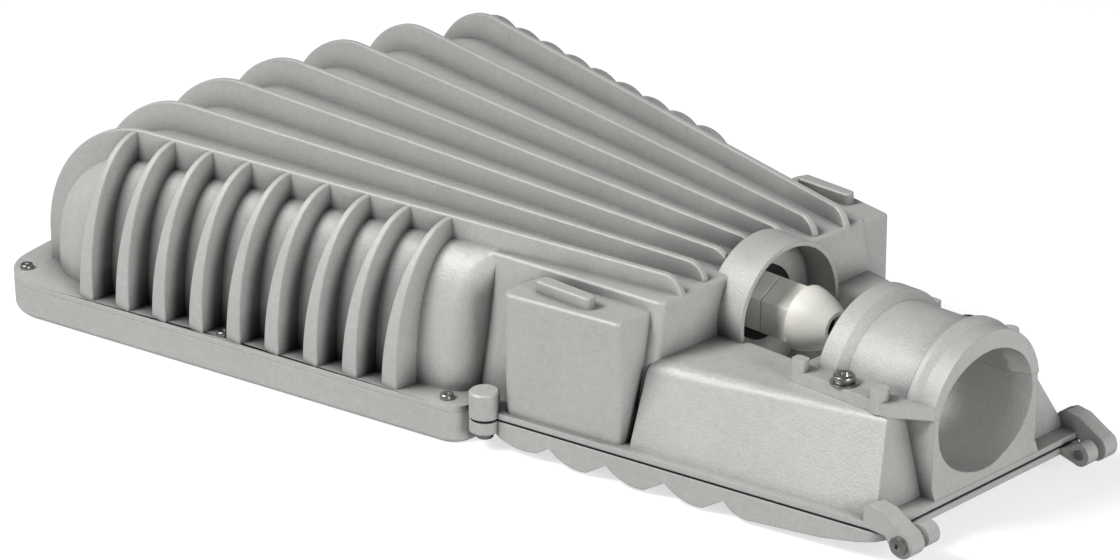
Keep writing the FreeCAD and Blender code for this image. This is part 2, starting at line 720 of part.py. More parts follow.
def mask_tab_places():
    """Where the reflector mask is screwed up to the housing."""
    places = []
    for x in MASK_TAB_X_PLACES:
        y = flange_half_width(x) - BODY_INSET - SHELL_WALL - MASK_TAB / 2
        places += [(x, y), (x, -y)]
    return places


def engine_places():
    return [(x, y) for x, row in ENGINE_ROWS for y in row]


def driver_half_width():
    """The driver fills the bay between its roof's edges, but for its tabs and some room."""
    return plateau_half_width(DRIVER_X) - SHELL_WALL - DRIVER_TAB - DRIVER_ROOM


def driver_screw_places():
    y = driver_half_width() + DRIVER_TAB / 2
    return [(DRIVER_X, y), (DRIVER_X, -y)]


def housing():
    flange = slab(flange_wire(0, 0), FLANGE_THICK)
    neck_flange = slab(door_wire(0, 0), FLANGE_THICK)
    ear = rod((EAR_X, EAR_Y, 0), (0, 0, 1), EAR_R, EAR_TOP_Z)
    ear = ear.makeChamfer(1.0, [e for e in ear.Edges if e.BoundBox.ZMin > EAR_TOP_Z - 0.1])
    sleeve = rod((BULKHEAD_X - SHELL_WALL, 0, GLAND_Z), (1, 0, 0), SLEEVE_R,
                 SLEEVE_END_X - BULKHEAD_X + SHELL_WALL)
    outer = [neck_flange, body_solid(0, 0), bay_block(), neck_block(), sleeve]
    outer += both_sides(side_box()) + both_sides(ear) + both_sides(hinge_lug())
    shell = joined(flange, outer + ridge_fan() + side_fins())

    shell = shell.cut(cavities())
    shell = shell.fuse(inner_walls())
    cuts = [socket_space(), trough_space()] + both_sides(collar_scoop()) + housing_holes()
    return shell.cut(cuts).removeSplitter()


def cavities():
    """The rooms inside the casting, open below."""
    light_room = body_solid(SHELL_WALL, -EPS)
    bay_rear_x = BULKHEAD_X - SHELL_WALL
    roof_z = BODY_TOP_Z - SHELL_WALL
    ends = [(x, plateau_half_width(x) + PLATEAU_LEAN - SHELL_WALL, plateau_half_width(x) - SHELL_WALL)
            for x in (BAY_FRONT_X, bay_rear_x)]
    bay = prismatoid(ends, -EPS, roof_z)
    wide = flange_half_width(BAY_FRONT_X)
    keep = box(BAY_FRONT_X - EPS, DOOR_FRONT_X + BAY_SILL, -wide, wide, -2 * EPS, FLANGE_THICK)
    bay = bay.cut(keep)
    wall = NECK_WALL

    def outer(x):
        return door_half_width(x) - BOX_INSET - wall
    corners = [(BOX_FRONT_X + wall, BOX_INNER_Y - 2), (BOX_REAR_X - wall, BOX_INNER_Y - 2),
               (BOX_REAR_X - wall, outer(BOX_REAR_X - wall)), (BOX_FRONT_X + wall, outer(BOX_FRONT_X))]
    pocket = slab(rounded_wire(corners, 3.0, -EPS), BOX_TOP_Z - wall + EPS)
    neck_end = NECK_END_X - NECK_SLANT - wall
    ends = [(bay_rear_x - 0.5, neck_foot(bay_rear_x) - wall, NECK_TOP_REAR - wall),
            (neck_end, neck_foot(neck_end) - wall - 1, NECK_TOP_END)]
    neck = prismatoid(ends, -EPS, NECK_TOP_Z - wall)
    return [light_room, bay, neck] + both_sides(pocket)


def inner_walls():
    """The trough, the gland sleeve and the screw bosses that stand in the rooms."""
    trough = oval_bar(BULKHEAD_X - SHELL_WALL, NECK_END_X - NECK_SLANT, TROUGH_WALL)
    low = box(BULKHEAD_X - 10, 0, -60, 60, -20, NECK_TOP_Z)
    trough = trough.common(low)
    sleeve = rod((BULKHEAD_X - SHELL_WALL, 0, GLAND_Z), (1, 0, 0), SLEEVE_R,
                 SLEEVE_END_X - BULKHEAD_X + SHELL_WALL)
    sleeve = sleeve.common(box(BULKHEAD_X - 10, 0, -60, 60, FLANGE_THICK, NECK_TOP_Z))
    posts = []
    for y in (CLAMP_BOLT_Y, -CLAMP_BOLT_Y):
        posts.append(rod((CLAMP_BOLT_X, y, 12), (0, 0, 1), CLAMP_BOLT_R + 4, NECK_TOP_Z - 12))
    for x, y in mask_tab_places():
        side = math.copysign(1, y)
        reach = MASK_TAB / 2 + SHELL_WALL / 2
        tab = rod((x, y, 0), (0, 0, 1), MASK_TAB / 2, MASK_TAB_HEIGHT)
        web = box(x - MASK_TAB / 2, x + MASK_TAB / 2, min(y, y + side * reach),
                  max(y, y + side * reach), 0, MASK_TAB_HEIGHT)
        posts.append(tab.fuse(web))
    pads = [rod((x, y, ENGINE_Z), (0, 0, 1), ENGINE_PAD_R, ENGINE_DROP + EPS)
            for x, y in engine_places()]
    return [trough, sleeve] + posts + pads


def housing_holes():
    holes = [rod((BULKHEAD_X - SHELL_WALL - EPS, 0, GLAND_Z), (1, 0, 0), GLAND_HOLE_R,
                 SHELL_WALL + 2 * EPS)]
    for x, y in frame_screw_places():
        holes.append(rod((x, y, -EPS), (0, 0, 1), M4.shank_r + SCREW_CLEARANCE, FLANGE_THICK + 2 * EPS))
    for y in (EAR_Y, -EAR_Y):
        holes.append(rod((EAR_X, y, -EPS), (0, 0, 1), M5.shank_r + DOOR_SCREW_ROOM, EAR_TOP_Z - 3 + EPS))
    for y in (CLAMP_BOLT_Y, -CLAMP_BOLT_Y):
        holes.append(rod((CLAMP_BOLT_X, y, 20), (0, 0, 1), CLAMP_BOLT_R, NECK_TOP_Z))
    for x, y in mask_tab_places():
        holes.append(rod((x, y, -EPS), (0, 0, 1), M3.shank_r, MASK_TAB_HEIGHT))
    for y in (LUG_INNER_Y - EPS, -LUG_OUTER_Y - EPS):
        holes.append(rod((HINGE_X, y, HINGE_Z), (0, 1, 0), HINGE_PIN_R,
                         LUG_OUTER_Y - LUG_INNER_Y + 2 * EPS))
    holes.append(rod((BODY_REAR_X - SHELL_WALL - EPS, GROMMET_Y, GROMMET_Z), (1, 0, 0), GROMMET_R,
                     BAY_FRONT_X - BODY_REAR_X + SHELL_WALL + 2 * EPS))
    return holes + roof_holes()


def roof_holes():
    """The blind screw holes above the light engines and in the wiring bay."""
    holes = []
    for x, y in holder_screw_places():
        holes.append(rod((x, y, ENGINE_Z - EPS), (0, 0, 1), M3.shank_r, HOLDER_SCREW_BITE + EPS))
    for x, y in driver_screw_places() + [EARTH_PLACE]:
        holes.append(rod((x, y, ROOF_Z - EPS), (0, 0, 1), M4.shank_r, BLIND_DEPTH + EPS))
    for x, y in box_screw_places():
        holes.append(rod((x, y, BOX_ROOF_Z - EPS), (0, 0, 1), M4.shank_r, BLIND_DEPTH + EPS))
    for z in clip_screw_heights():
        holes.append(rod((BAY_REAR_X - EPS, sum(CORD_CLIP_Y) / 2, z), (1, 0, 0), M4.shank_r,
                         BLIND_DEPTH + EPS))
    return holes


def fan_ring(outer_inset, inner_inset, z, height):
    """A level ring that follows the wide flange between two insets."""
    ring = slab(flange_wire(outer_inset, z), height)
    return ring.cut(slab(flange_wire(inner_inset, z - EPS), height + 2 * EPS))


def across(way):
    """Two directions square to the given one."""
    first = Vector(1, 0, 0) if abs(way.y) > 0.5 else Vector(0, 1, 0)
    return first, way.cross(first)


def hexagon(start, axis, across_flats, length):
    """A hexagonal bar from start along the axis."""
    start, way = Vector(*start), Vector(*axis)
    first, second = across(way)
    corner = across_flats / math.sqrt(3)
    points = [start + first * (corner * math.cos(math.radians(a))) +
              second * (corner * math.sin(math.radians(a))) for a in range(30, 390, 60)]
    return Part.Face(polygon(points)).extrude(way * length)


def pipe(start, axis, outer_r, inner_r, length):
    start, way = Vector(*start), Vector(*axis)
    bore = Part.makeCylinder(inner_r, length + 2 * EPS, start - way * EPS, way)
    return Part.makeCylinder(outer_r, length, start, way).cut(bore)


def screws(kind, places, axis, length):
    """Screws whose heads seat at the places and whose shanks point along the axis."""
    way = Vector(*axis)
    made = []
    for place in places:
        seat = Vector(*place)
        top = seat - way * kind.head_height
        head = Part.makeCylinder(kind.head_r, kind.head_height, top, way)
        shank = Part.makeCylinder(kind.shank_r, length, seat, way)
        socket = hexagon(top - way * EPS, axis, kind.key, kind.head_height / 2 + EPS)
        made.append(head.fuse(shank).cut(socket).removeSplitter())
    return group(made)


def group(shapes):
    return Part.makeCompound([solid for shape in shapes for solid in shape.Solids])


def revolved(points, centre, axis):
    """A full turn of a closed outline about an axis through the centre."""
    face = Part.Face(points if isinstance(points, Part.Wire) else polygon(points))
    return face.revolve(Vector(*centre), Vector(*axis), 360)


def lens_frame():
    low = -FRAME_DEPTH
    block = slab(flange_wire(0, low), FRAME_DEPTH)
    block = rounded_where(block, FRAME_EDGE, lambda e: e.BoundBox.ZMax < low + 0.1)
    block = block.cut(slab(flange_wire(FRAME_SKIN, low + FRAME_SKIN), FRAME_DEPTH))
    window = slab(flange_wire(GLASS_INSET + GLASS_LIP, low - EPS), FRAME_DEPTH)
    block = block.cut(window)
    floor_z = low + FRAME_SKIN
    rib = fan_ring(FRAME_RIB_INSET, FRAME_RIB_INSET + FRAME_RIB, floor_z, -GASKET - floor_z)
    bosses = [rod((x, y, floor_z), (0, 0, 1), FRAME_BOSS_R, -GASKET - floor_z)
              for x, y in frame_screw_places()]
    bosses = [boss.common(slab(flange_wire(FRAME_SKIN / 2, floor_z), FRAME_DEPTH)) for boss in bosses]
    posts = [rod((x, y, floor_z), (0, 0, 1), CLIP_BOSS_R, GLASS_TOP_Z - floor_z)
             for x, y, turn in clip_places()]
    holes = [rod((x, y, FLANGE_THICK - FRAME_SCREW_LENGTH), (0, 0, 1), M4.shank_r, FRAME_SCREW_LENGTH)
             for x, y in frame_screw_places()]
    holes += [rod((x, y, GLASS_TOP_Z - BLIND_DEPTH - EPS), (0, 0, 1), M3.shank_r, BLIND_DEPTH + 2 * EPS)
              for x, y, turn in clip_places()]
    return block.fuse([rib] + bosses + posts).cut(holes).removeSplitter()


def frame_gasket():
    ring = fan_ring(FRAME_RIB_INSET, FRAME_RIB_INSET + FRAME_RIB, -GASKET, GASKET)
    eyes = [rod((x, y, -GASKET), (0, 0, 1), FRAME_BOSS_R, GASKET) for x, y in frame_screw_places()]
    holes = [rod((x, y, -GASKET - EPS), (0, 0, 1), M4.shank_r + SCREW_CLEARANCE, GASKET + 2 * EPS)
             for x, y in frame_screw_places()]
    limit = slab(flange_wire(FRAME_SKIN + SCREW_CLEARANCE, -GASKET), GASKET)
    return ring.fuse(eyes).common(limit).cut(holes).removeSplitter()


def frame_screws():
    places = [(x, y, FLANGE_THICK) for x, y in frame_screw_places()]
    return screws(M4, places, (0, 0, -1), FRAME_SCREW_LENGTH)


def clip_places():
    """Each glass clip as x, y and the turn that squares it to the frame's side."""
    places = []
    lean = math.degrees(math.atan(FLANGE_SLOPE))
    tilt = math.hypot(1, FLANGE_SLOPE)
    for x in CLIP_X_PLACES:
        y = flange_half_width(x) - CLIP_INSET * tilt
        places += [(x, y, -lean), (x, -y, 180 + lean)]
    front_x = FRONT_CENTRE_X - math.sqrt((FLANGE_FRONT_R - CLIP_INSET) ** 2 - CLIP_END_Y ** 2)
    swing = math.degrees(math.asin(CLIP_END_Y / (FLANGE_FRONT_R - CLIP_INSET)))
    for side in (1, -1):
        places.append((front_x, side * CLIP_END_Y, 90 - side * swing))
        places.append((FLANGE_REAR_X - CLIP_INSET, side * CLIP_END_Y, -90))
    return places


def glass_clips():
    outward, inward = CLIP_REACH
    clips = []
    for x, y, turn in clip_places():
        half = CLIP_WIDTH / 2
        clip = box(-half, half, -inward, outward, GLASS_TOP_Z, GLASS_TOP_Z + CLIP_THICK)
        clip = clip.cut(rod((0, 0, GLASS_TOP_Z - EPS), (0, 0, 1), M3.shank_r + SCREW_CLEARANCE / 2,
                            CLIP_THICK + 2 * EPS))
        clip.rotate(Vector(0, 0, 0), Vector(0, 0, 1), turn)
        clip.translate(Vector(x, y, 0))
        clips.append(clip)
    return group(clips)


def clip_screws():
    places = [(x, y, GLASS_TOP_Z + CLIP_THICK) for x, y, turn in clip_places()]
    return screws(M3, places, (0, 0, -1), CLIP_THICK + BLIND_DEPTH)


def glass_gasket():
    return fan_ring(GLASS_INSET, GLASS_INSET + GLASS_LIP - 1, GLASS_TOP_Z - GLASS_THICK - GLASS_SEAL,
                    GLASS_SEAL)


def glass_pane():
    return slab(flange_wire(GLASS_INSET, GLASS_TOP_Z - GLASS_THICK), GLASS_THICK)


def led_chip(x, y):
    half = CHIP_SIDE / 2
    return box(x - half, x + half, y - half, y + half, ENGINE_Z - CHIP_THICK, ENGINE_Z)


def holder_screw_places():
    return [(x + side * HOLDER_SCREW_R, y) for x, y in engine_places() for side in (-1, 1)]


def chip_holder(x, y):
    """The round clamp that holds a chip to its pad on the housing."""
    low = ENGINE_Z - HOLDER_THICK
    ring = pipe((x, y, low), (0, 0, 1), HOLDER_R, HOLDER_WINDOW_R, HOLDER_THICK)
    half = CHIP_SIDE / 2 + 0.1
    pocket = box(x - half, x + half, y - half, y + half, ENGINE_Z - CHIP_THICK, ENGINE_Z + EPS)
    holes = [pocket]
    for side in (-1, 1):
        at = (x + side * HOLDER_SCREW_R, y)
        holes.append(rod((*at, low - EPS), (0, 0, 1), M3.head_r + 0.2, HOLDER_RECESS + EPS))
        holes.append(rod((*at, low), (0, 0, 1), M3.shank_r + 0.15, HOLDER_THICK + EPS))
    return ring.cut(holes)


def holder_screws():
    seat = ENGINE_Z - HOLDER_THICK + HOLDER_RECESS
    places = [(x, y, seat) for x, y in holder_screw_places()]
    return screws(M3, places, (0, 0, 1), ENGINE_Z - seat + HOLDER_SCREW_BITE - 0.2)


def reflector(x, y):
    """A spun cup that opens downwards, with a lip that rests on the mask."""
    top = ENGINE_Z - HOLDER_THICK
    belly_r, belly_z = CUP_BELLY

    def curve(thinner):
        return Part.Arc(Vector(x + CUP_RIM_R - thinner, y, 0), Vector(x + belly_r - thinner, y, belly_z),
                        Vector(x + CUP_NECK_R - thinner, y, top)).toShape()
    ends = [Part.makeLine(Vector(x + r - CUP_WALL, y, z), Vector(x + r, y, z))
            for r, z in ((CUP_RIM_R, 0), (CUP_NECK_R, top))]
    section = Part.Wire(Part.__sortEdges__([curve(0), ends[1], curve(CUP_WALL), ends[0]]))
    cup = revolved(section, (x, y, 0), (0, 0, 1))
    lip = pipe((x, y, 0), (0, 0, 1), CUP_RIM_R + CUP_LIP, CUP_RIM_R - CUP_WALL / 2, CUP_WALL)
    return cup.fuse(lip).removeSplitter()


def reflector_mask():
    sheet = slab(flange_wire(MASK_INSET, -MASK_THICK), MASK_THICK)
    holes = [rod((x, y, -MASK_THICK - EPS), (0, 0, 1), CUP_RIM_R - CUP_WALL, MASK_THICK + 2 * EPS)
             for x, y in engine_places()]
    holes += [rod((x, y, -MASK_THICK - EPS), (0, 0, 1), M3.shank_r + 0.15, MASK_THICK + 2 * EPS)
              for x, y in mask_tab_places()]
    return sheet.cut(holes)


def mask_screws():
    places = [(x, y, -MASK_THICK) for x, y in mask_tab_places()]
    return screws(M3, places, (0, 0, 1), MASK_THICK + MASK_TAB_HEIGHT - EPS - 0.2)


def cord(points, radius):
    """A cord of straight runs joined by arcs that take up most of the shorter run at each corner."""
    points = [Vector(*p) for p in points]
    edges = []
    here = points[0]
    for before, corner, after in zip(points, points[1:], points[2:]):
        back, ahead = before - corner, after - corner
        half_turn = (math.pi - back.getAngle(ahead)) / 2
        reach = 0.45 * min(back.Length, ahead.Length)
        bend = reach / math.tan(half_turn)
        back, ahead = back.normalize(), ahead.normalize()
        start, end = corner + back * reach, corner + ahead * reach
        middle = corner + (back + ahead).normalize() * (bend / math.cos(half_turn) - bend)
        edges += [Part.makeLine(here, start), Part.Arc(start, middle, end).toShape()]
        here = end
    edges.append(Part.makeLine(here, points[-1]))
    section = Part.Wire(Part.makeCircle(radius, points[0], points[1] - points[0]))
    return Part.Wire(edges).makePipeShell([section], True, False)


def led_leads():
    """The wires that join one light engine to the next, each hanging in a shallow arc."""
    order = [0, 1, 2, 4, 3, 5, 6]
    places = engine_places()
    level = ENGINE_Z - HOLDER_THICK / 2
    wires = []
    for first, second in zip(order, order[1:]):
        a, b = (Vector(*places[i], level) for i in (first, second))
        way = (b - a).normalize()
        slope = 2 * math.atan(2 * WIRE_SAG / ((b - a).Length - 2 * HOLDER_R))
        stand_off = way * (HOLDER_R + WIRE_R * math.sin(slope) + LEAD_CLEARANCE)
        start, end = a + stand_off, b - stand_off
        low = (start + end) / 2 - Vector(0, 0, WIRE_SAG)
        path = Part.Arc(start, low, end).toShape()
        section = Part.Wire(Part.makeCircle(WIRE_R, start, path.tangentAt(path.FirstParameter)))
        wires.append(Part.Wire(path).makePipeShell([section], True, False))
    return group(wires)


def output_lead():
    """The driver's lead, through the wall to the last light engine."""
    front_x = DRIVER_X - DRIVER_LENGTH / 2
    exit_z = ROOF_Z - DRIVER_HEIGHT / 2
    level = ENGINE_Z - HOLDER_THICK / 2
    x, y = engine_places()[-1]
    way = Vector(OUTPUT_X - x, GROMMET_Y - y, 0).normalize()
    end = (x + way.x * HOLDER_R, y + way.y * HOLDER_R, level)
    halfway_x = (front_x + BAY_FRONT_X) / 2
    return cord([(front_x, GROMMET_Y, exit_z), (halfway_x, GROMMET_Y, exit_z),
                 (halfway_x, GROMMET_Y, GROMMET_Z), (OUTPUT_X, GROMMET_Y, GROMMET_Z),
                 (OUTPUT_X, GROMMET_Y, level), end], LEAD_R)


def wall_grommet():
    start = BODY_REAR_X - SHELL_WALL
    length = BAY_FRONT_X - start
    bore_r = LEAD_R + GROMMET_ROOM
    body = pipe((start, GROMMET_Y, GROMMET_Z), (1, 0, 0), GROMMET_R, bore_r, length)
    flanges = [pipe((x, GROMMET_Y, GROMMET_Z), (1, 0, 0), GROMMET_R + 2, bore_r, 1.5)
               for x in (start - 1.5, start + length)]
    return body.fuse(flanges).removeSplitter()


def driver():
    x0, half, low_z = DRIVER_X - DRIVER_LENGTH / 2, driver_half_width(), ROOF_Z - DRIVER_HEIGHT
    body = box(x0, x0 + DRIVER_LENGTH, -half, half, low_z, ROOF_Z)
    body = body.makeChamfer(1.5, [e for e in body.Edges if e.BoundBox.ZMax < low_z + 0.1])
    tabs = []
    holes = []
    for side in (-1, 1):
        reach = side * (half + DRIVER_TAB)
        tabs.append(box(DRIVER_X - 8, DRIVER_X + 8, min(0, reach), max(0, reach), ROOF_Z - 2, ROOF_Z))
    for x, y in driver_screw_places():
        holes.append(rod((x, y, ROOF_Z - 5), (0, 0, 1), M4.shank_r + SCREW_CLEARANCE, 10))
    return body.fuse(tabs).cut(holes).removeSplitter()


def driver_screws():
    places = [(x, y, ROOF_Z - 2) for x, y in driver_screw_places()]
    return screws(M4, places, (0, 0, 1), 2 + BLIND_DEPTH - 0.2)


def terminal_block():
    """The mains terminal block, hung from the roof of the box on the -Y side."""
    length, width, height = BLOCK_SIZE
    x0, x1 = BLOCK_X - length / 2, BLOCK_X + length / 2
    y0, y1 = -BLOCK_Y - width / 2, -BLOCK_Y + width / 2
    body = box(x0 + BLOCK_EAR, x1 - BLOCK_EAR, y0, y1, BOX_ROOF_Z - height, BOX_ROOF_Z)
    ears = box(x0, x1, y0 + 3, y1 - 3, BOX_ROOF_Z - BLOCK_EAR_THICK, BOX_ROOF_Z)
    body = body.fuse(ears)
    pitch = (length - 2 * BLOCK_EAR) / BLOCK_POLES
    holes = []
    for k in range(BLOCK_POLES):
        x = x0 + BLOCK_EAR + pitch * (k + 0.5)
        holes.append(rod((x, y0 - EPS, BOX_ROOF_Z - height / 2), (0, 1, 0), 2.4, width + 2 * EPS))
        holes.append(rod((x, -BLOCK_Y, BOX_ROOF_Z - height - EPS), (0, 0, 1), M3.head_r + 0.3, 4 + EPS))
    for x, y in box_screw_places()[:2]:
        holes.append(rod((x, y, BOX_ROOF_Z - 10), (0, 0, 1), M4.shank_r + SCREW_CLEARANCE, 12))
    return body.cut(holes)


def terminal_screws():
    length, width, height = BLOCK_SIZE
    pitch = (length - 2 * BLOCK_EAR) / BLOCK_POLES
    places = [(BLOCK_X + pitch * (k - (BLOCK_POLES - 1) / 2), -BLOCK_Y, BOX_ROOF_Z - height + 4)
              for k in range(BLOCK_POLES)]
    return group([pipe((x, y, z - M3.head_height), (0, 0, 1), M3.head_r, 0.9, M3.head_height)
                  for x, y, z in places])


def surge_protector():
    length, width, height = SURGE_SIZE
    x0, x1 = SURGE_X - length / 2, SURGE_X + length / 2
    y0, y1 = BLOCK_Y - width / 2, BLOCK_Y + width / 2
    body = box(x0, x1, y0, y1, BOX_ROOF_Z - height, BOX_ROOF_Z)
    body = body.makeChamfer(1.2, [e for e in body.Edges if e.BoundBox.ZMax < BOX_ROOF_Z - height + 0.1])
    ear = box(x1 - EPS, x1 + BLOCK_EAR, y0 + 3, y1 - 3, BOX_ROOF_Z - BLOCK_EAR_THICK, BOX_ROOF_Z)
    x, y = box_screw_places()[2]
    hole = rod((x, y, BOX_ROOF_Z - 10), (0, 0, 1), M4.shank_r + SCREW_CLEARANCE, 12)
    return body.fuse(ear).cut(hole).removeSplitter()


def box_screw_places():
    """The roof screws of the terminal block, then the one of the surge protector."""
    reach = (BLOCK_SIZE[0] - BLOCK_EAR) / 2
    surge_x = SURGE_X + (SURGE_SIZE[0] + BLOCK_EAR) / 2
    return [(BLOCK_X - reach, -BLOCK_Y), (BLOCK_X + reach, -BLOCK_Y), (surge_x, BLOCK_Y)]


def clip_screw_heights():
    reach = (CABLE_R + CORD_CLIP_WALL + CORD_CLIP_HALF) / 2
    return [GLAND_Z - reach, GLAND_Z + reach]


def bay_screws():
    places = [(x, y, BOX_ROOF_Z - BLOCK_EAR_THICK) for x, y in box_screw_places()]
    upright = screws(M4, places, (0, 0, 1), BLOCK_EAR_THICK + BLIND_DEPTH - 0.2)
    seats = [(BAY_REAR_X - CORD_CLIP_WALL, sum(CORD_CLIP_Y) / 2, z) for z in clip_screw_heights()]
    level = screws(M4, seats, (1, 0, 0), CORD_CLIP_WALL + BLIND_DEPTH - 0.2)
    return group([upright, level])


def cable_clip():
    """A saddle on the bay's rear wall for the mains cable."""
    y0, y1 = CORD_CLIP_Y
    inner = CABLE_R + 0.2
    ring = rod((CORD_CLIP_X, y0, GLAND_Z), (0, 1, 0), inner + CORD_CLIP_WALL, y1 - y0)
    arms = box(CORD_CLIP_X, BAY_REAR_X, y0, y1, GLAND_Z - inner - CORD_CLIP_WALL,
               GLAND_Z + inner + CORD_CLIP_WALL)
    feet = box(BAY_REAR_X - CORD_CLIP_WALL, BAY_REAR_X, y0, y1, GLAND_Z - CORD_CLIP_HALF,
               GLAND_Z + CORD_CLIP_HALF)
    tunnel = [rod((CORD_CLIP_X, y0 - EPS, GLAND_Z), (0, 1, 0), inner, y1 - y0 + 2 * EPS),
              box(CORD_CLIP_X, BAY_REAR_X + EPS, y0 - EPS, y1 + EPS, GLAND_Z - inner, GLAND_Z + inner)]
    holes = [rod((BAY_REAR_X - 5, (y0 + y1) / 2, z), (1, 0, 0), M4.shank_r + SCREW_CLEARANCE, 10)
             for z in clip_screw_heights()]
    return ring.fuse([arms, feet]).cut(tunnel + holes).removeSplitter()


def earth_screw():
    return screws(M4, [(*EARTH_PLACE, ROOF_Z)], (0, 0, 1), BLIND_DEPTH - 0.2)


def supply_lead():
    """From the terminal block to the driver."""
    z = BOX_ROOF_Z - BLOCK_SIZE[2] / 2 - 3
    return side_lead(BLOCK_X + BLOCK_SIZE[0] / 2 - BLOCK_EAR, -1, z)


def surge_lead():
    """From the surge protector to the driver."""
    z = BOX_ROOF_Z - SURGE_SIZE[2] / 2 - 3
    return side_lead(SURGE_X + SURGE_SIZE[0] / 2, 1, z)


def side_lead(start_x, side, z):
    rear_x = DRIVER_X + DRIVER_LENGTH / 2
    start_y, end_y = side * BLOCK_Y, side * (driver_half_width() - LEAD_INSET)
    return cord([(start_x, start_y, z), (LEAD_X, start_y, z), (LEAD_X, end_y, z), (rear_x, end_y, z)],
                LEAD_R)


def pole_clamp():
    """The saddle over the pole, with its bolt flanges, end pads and studs."""
    outline = [(SADDLE_SECTION[0][0], 0, SOCKET_AXIS_Z)]
    outline += [(x, 0, SOCKET_AXIS_Z + r) for x, r in SADDLE_SECTION]
    crown = revolved(outline + [(0, 0, SOCKET_AXIS_Z)], (0, 0, SOCKET_AXIS_Z), (1, 0, 0))
    crown = crown.common(box(SADDLE_REAR_X, 0, -60, 60, NECK_TOP_Z, BODY_TOP_Z + 20))
    plan = [(SADDLE_REAR_X, -SADDLE_HALF), (SADDLE_TAPER_X, -SADDLE_HALF), (0, -39), (0, 39),
            (SADDLE_TAPER_X, SADDLE_HALF), (SADDLE_REAR_X, SADDLE_HALF)]
    flange = slab(polygon([(x, y, NECK_TOP_Z) for x, y in plan]), SADDLE_FLANGE)
    peg_length, peg_y0, peg_y1 = SADDLE_PEG
    peg_x = SADDLE_REAR_X + peg_length
    pad = slab(rounded_wire([(SADDLE_REAR_X, peg_y0), (peg_x, peg_y0), (peg_x, peg_y1),
                             (SADDLE_REAR_X, peg_y1)], 2.0, NECK_TOP_Z), SADDLE_FLANGE + 6)
    stud = rod((STUD_X, STUD_Y, NECK_TOP_Z), (0, 0, 1), STUD_R, SADDLE_FLANGE + 6)
    solid = flange.fuse([crown] + both_sides(pad) + both_sides(stud))
    holes = [rod((CLAMP_BOLT_X, y, NECK_TOP_Z - EPS), (0, 0, 1), M6.shank_r + SCREW_CLEARANCE, 20)
             for y in (CLAMP_BOLT_Y, -CLAMP_BOLT_Y)]
    rear = rod((SADDLE_REAR_X - EPS, 0, TROUGH_AXIS_Z), (1, 0, 0), TROUGH_R,
               BORE_REAR_X - SADDLE_REAR_X + EPS)
    return solid.cut([socket_space().fuse(rear)] + holes).removeSplitter()


def clamp_bolts():
    seat = NECK_TOP_Z + SADDLE_FLANGE + WASHER_THICK
    places = [(CLAMP_BOLT_X, y, seat) for y in (CLAMP_BOLT_Y, -CLAMP_BOLT_Y)]
    return screws(M6, places, (0, 0, -1), seat - CLAMP_BOLT_TIP_Z)


def clamp_washers():
    z = NECK_TOP_Z + SADDLE_FLANGE
    return group([pipe((CLAMP_BOLT_X, y, z), (0, 0, 1), WASHER_R, M6.shank_r + 0.2, WASHER_THICK)
                  for y in (CLAMP_BOLT_Y, -CLAMP_BOLT_Y)])


def gland_washer():
    return pipe((BULKHEAD_X, 0, GLAND_Z), (1, 0, 0), GLAND_WASHER_R, GLAND_THREAD_R, GLAND_WASHER)


def gland_body():
    hex_x = BULKHEAD_X + GLAND_WASHER
    thread_x = BULKHEAD_X - SHELL_WALL - LOCKNUT_THICK - 2
    thread = rod((thread_x, 0, GLAND_Z), (1, 0, 0), GLAND_THREAD_R, hex_x - thread_x)
    flats = hexagon((hex_x, 0, GLAND_Z), (1, 0, 0), GLAND_HEX, GLAND_HEX_LENGTH)
    neck = rod((hex_x, 0, GLAND_Z), (1, 0, 0), GLAND_NECK_R, GLAND_HEX_LENGTH + GLAND_NECK)
    bore = rod((thread_x - EPS, 0, GLAND_Z), (1, 0, 0), GLAND_BORE_R,
               hex_x + GLAND_HEX_LENGTH + GLAND_NECK - thread_x + 2 * EPS)
    return thread.fuse([flats, neck]).cut(bore).removeSplitter()


def gland_dome_nut():
    """The nut that squeezes the seal, with six flats and a domed mouth."""
    x0 = BULKHEAD_X + GLAND_WASHER + GLAND_HEX_LENGTH + 1
    x1 = x0 + NUT_FLATS
    corner = GLAND_HEX / math.sqrt(3)
    start, end = Vector(x1, 0, GLAND_Z + corner), Vector(x0 + NUT_LENGTH, 0, GLAND_Z + NUT_MOUTH_R + 2)
    bulge = (start + end) / 2 + Vector(0, 0, NUT_BULGE)
    edges = [Part.makeLine(Vector(x0, 0, GLAND_Z), Vector(x0, 0, GLAND_Z + corner)),
             Part.makeLine(Vector(x0, 0, GLAND_Z + corner), start),
             Part.Arc(start, bulge, end).toShape(),
             Part.makeLine(end, Vector(end.x, 0, GLAND_Z)),
             Part.makeLine(Vector(end.x, 0, GLAND_Z), Vector(x0, 0, GLAND_Z))]
    dome = revolved(Part.Wire(edges), (0, 0, GLAND_Z), (1, 0, 0))
    body = hexagon((x0, 0, GLAND_Z), (1, 0, 0), GLAND_HEX, NUT_FLATS)
    rest = dome.common(box(x1, x0 + NUT_LENGTH + EPS, -30, 30, GLAND_Z - 30, GLAND_Z + 30))
    neck_end = x0 + GLAND_NECK - 0.5
    room = [rod((x0 - EPS, 0, GLAND_Z), (1, 0, 0), GLAND_NECK_R, neck_end - x0 + EPS),
            rod((neck_end - EPS, 0, GLAND_Z), (1, 0, 0), SEAL_R, SEAL_LENGTH + EPS),
            rod((x0, 0, GLAND_Z), (1, 0, 0), NUT_MOUTH_R, NUT_LENGTH + EPS)]
    return body.fuse(rest).cut(room).removeSplitter()


def gland_seal():
    start = BULKHEAD_X + GLAND_WASHER + GLAND_HEX_LENGTH + GLAND_NECK + 0.5
    return pipe((start, 0, GLAND_Z), (1, 0, 0), SEAL_R, CABLE_R, SEAL_LENGTH)


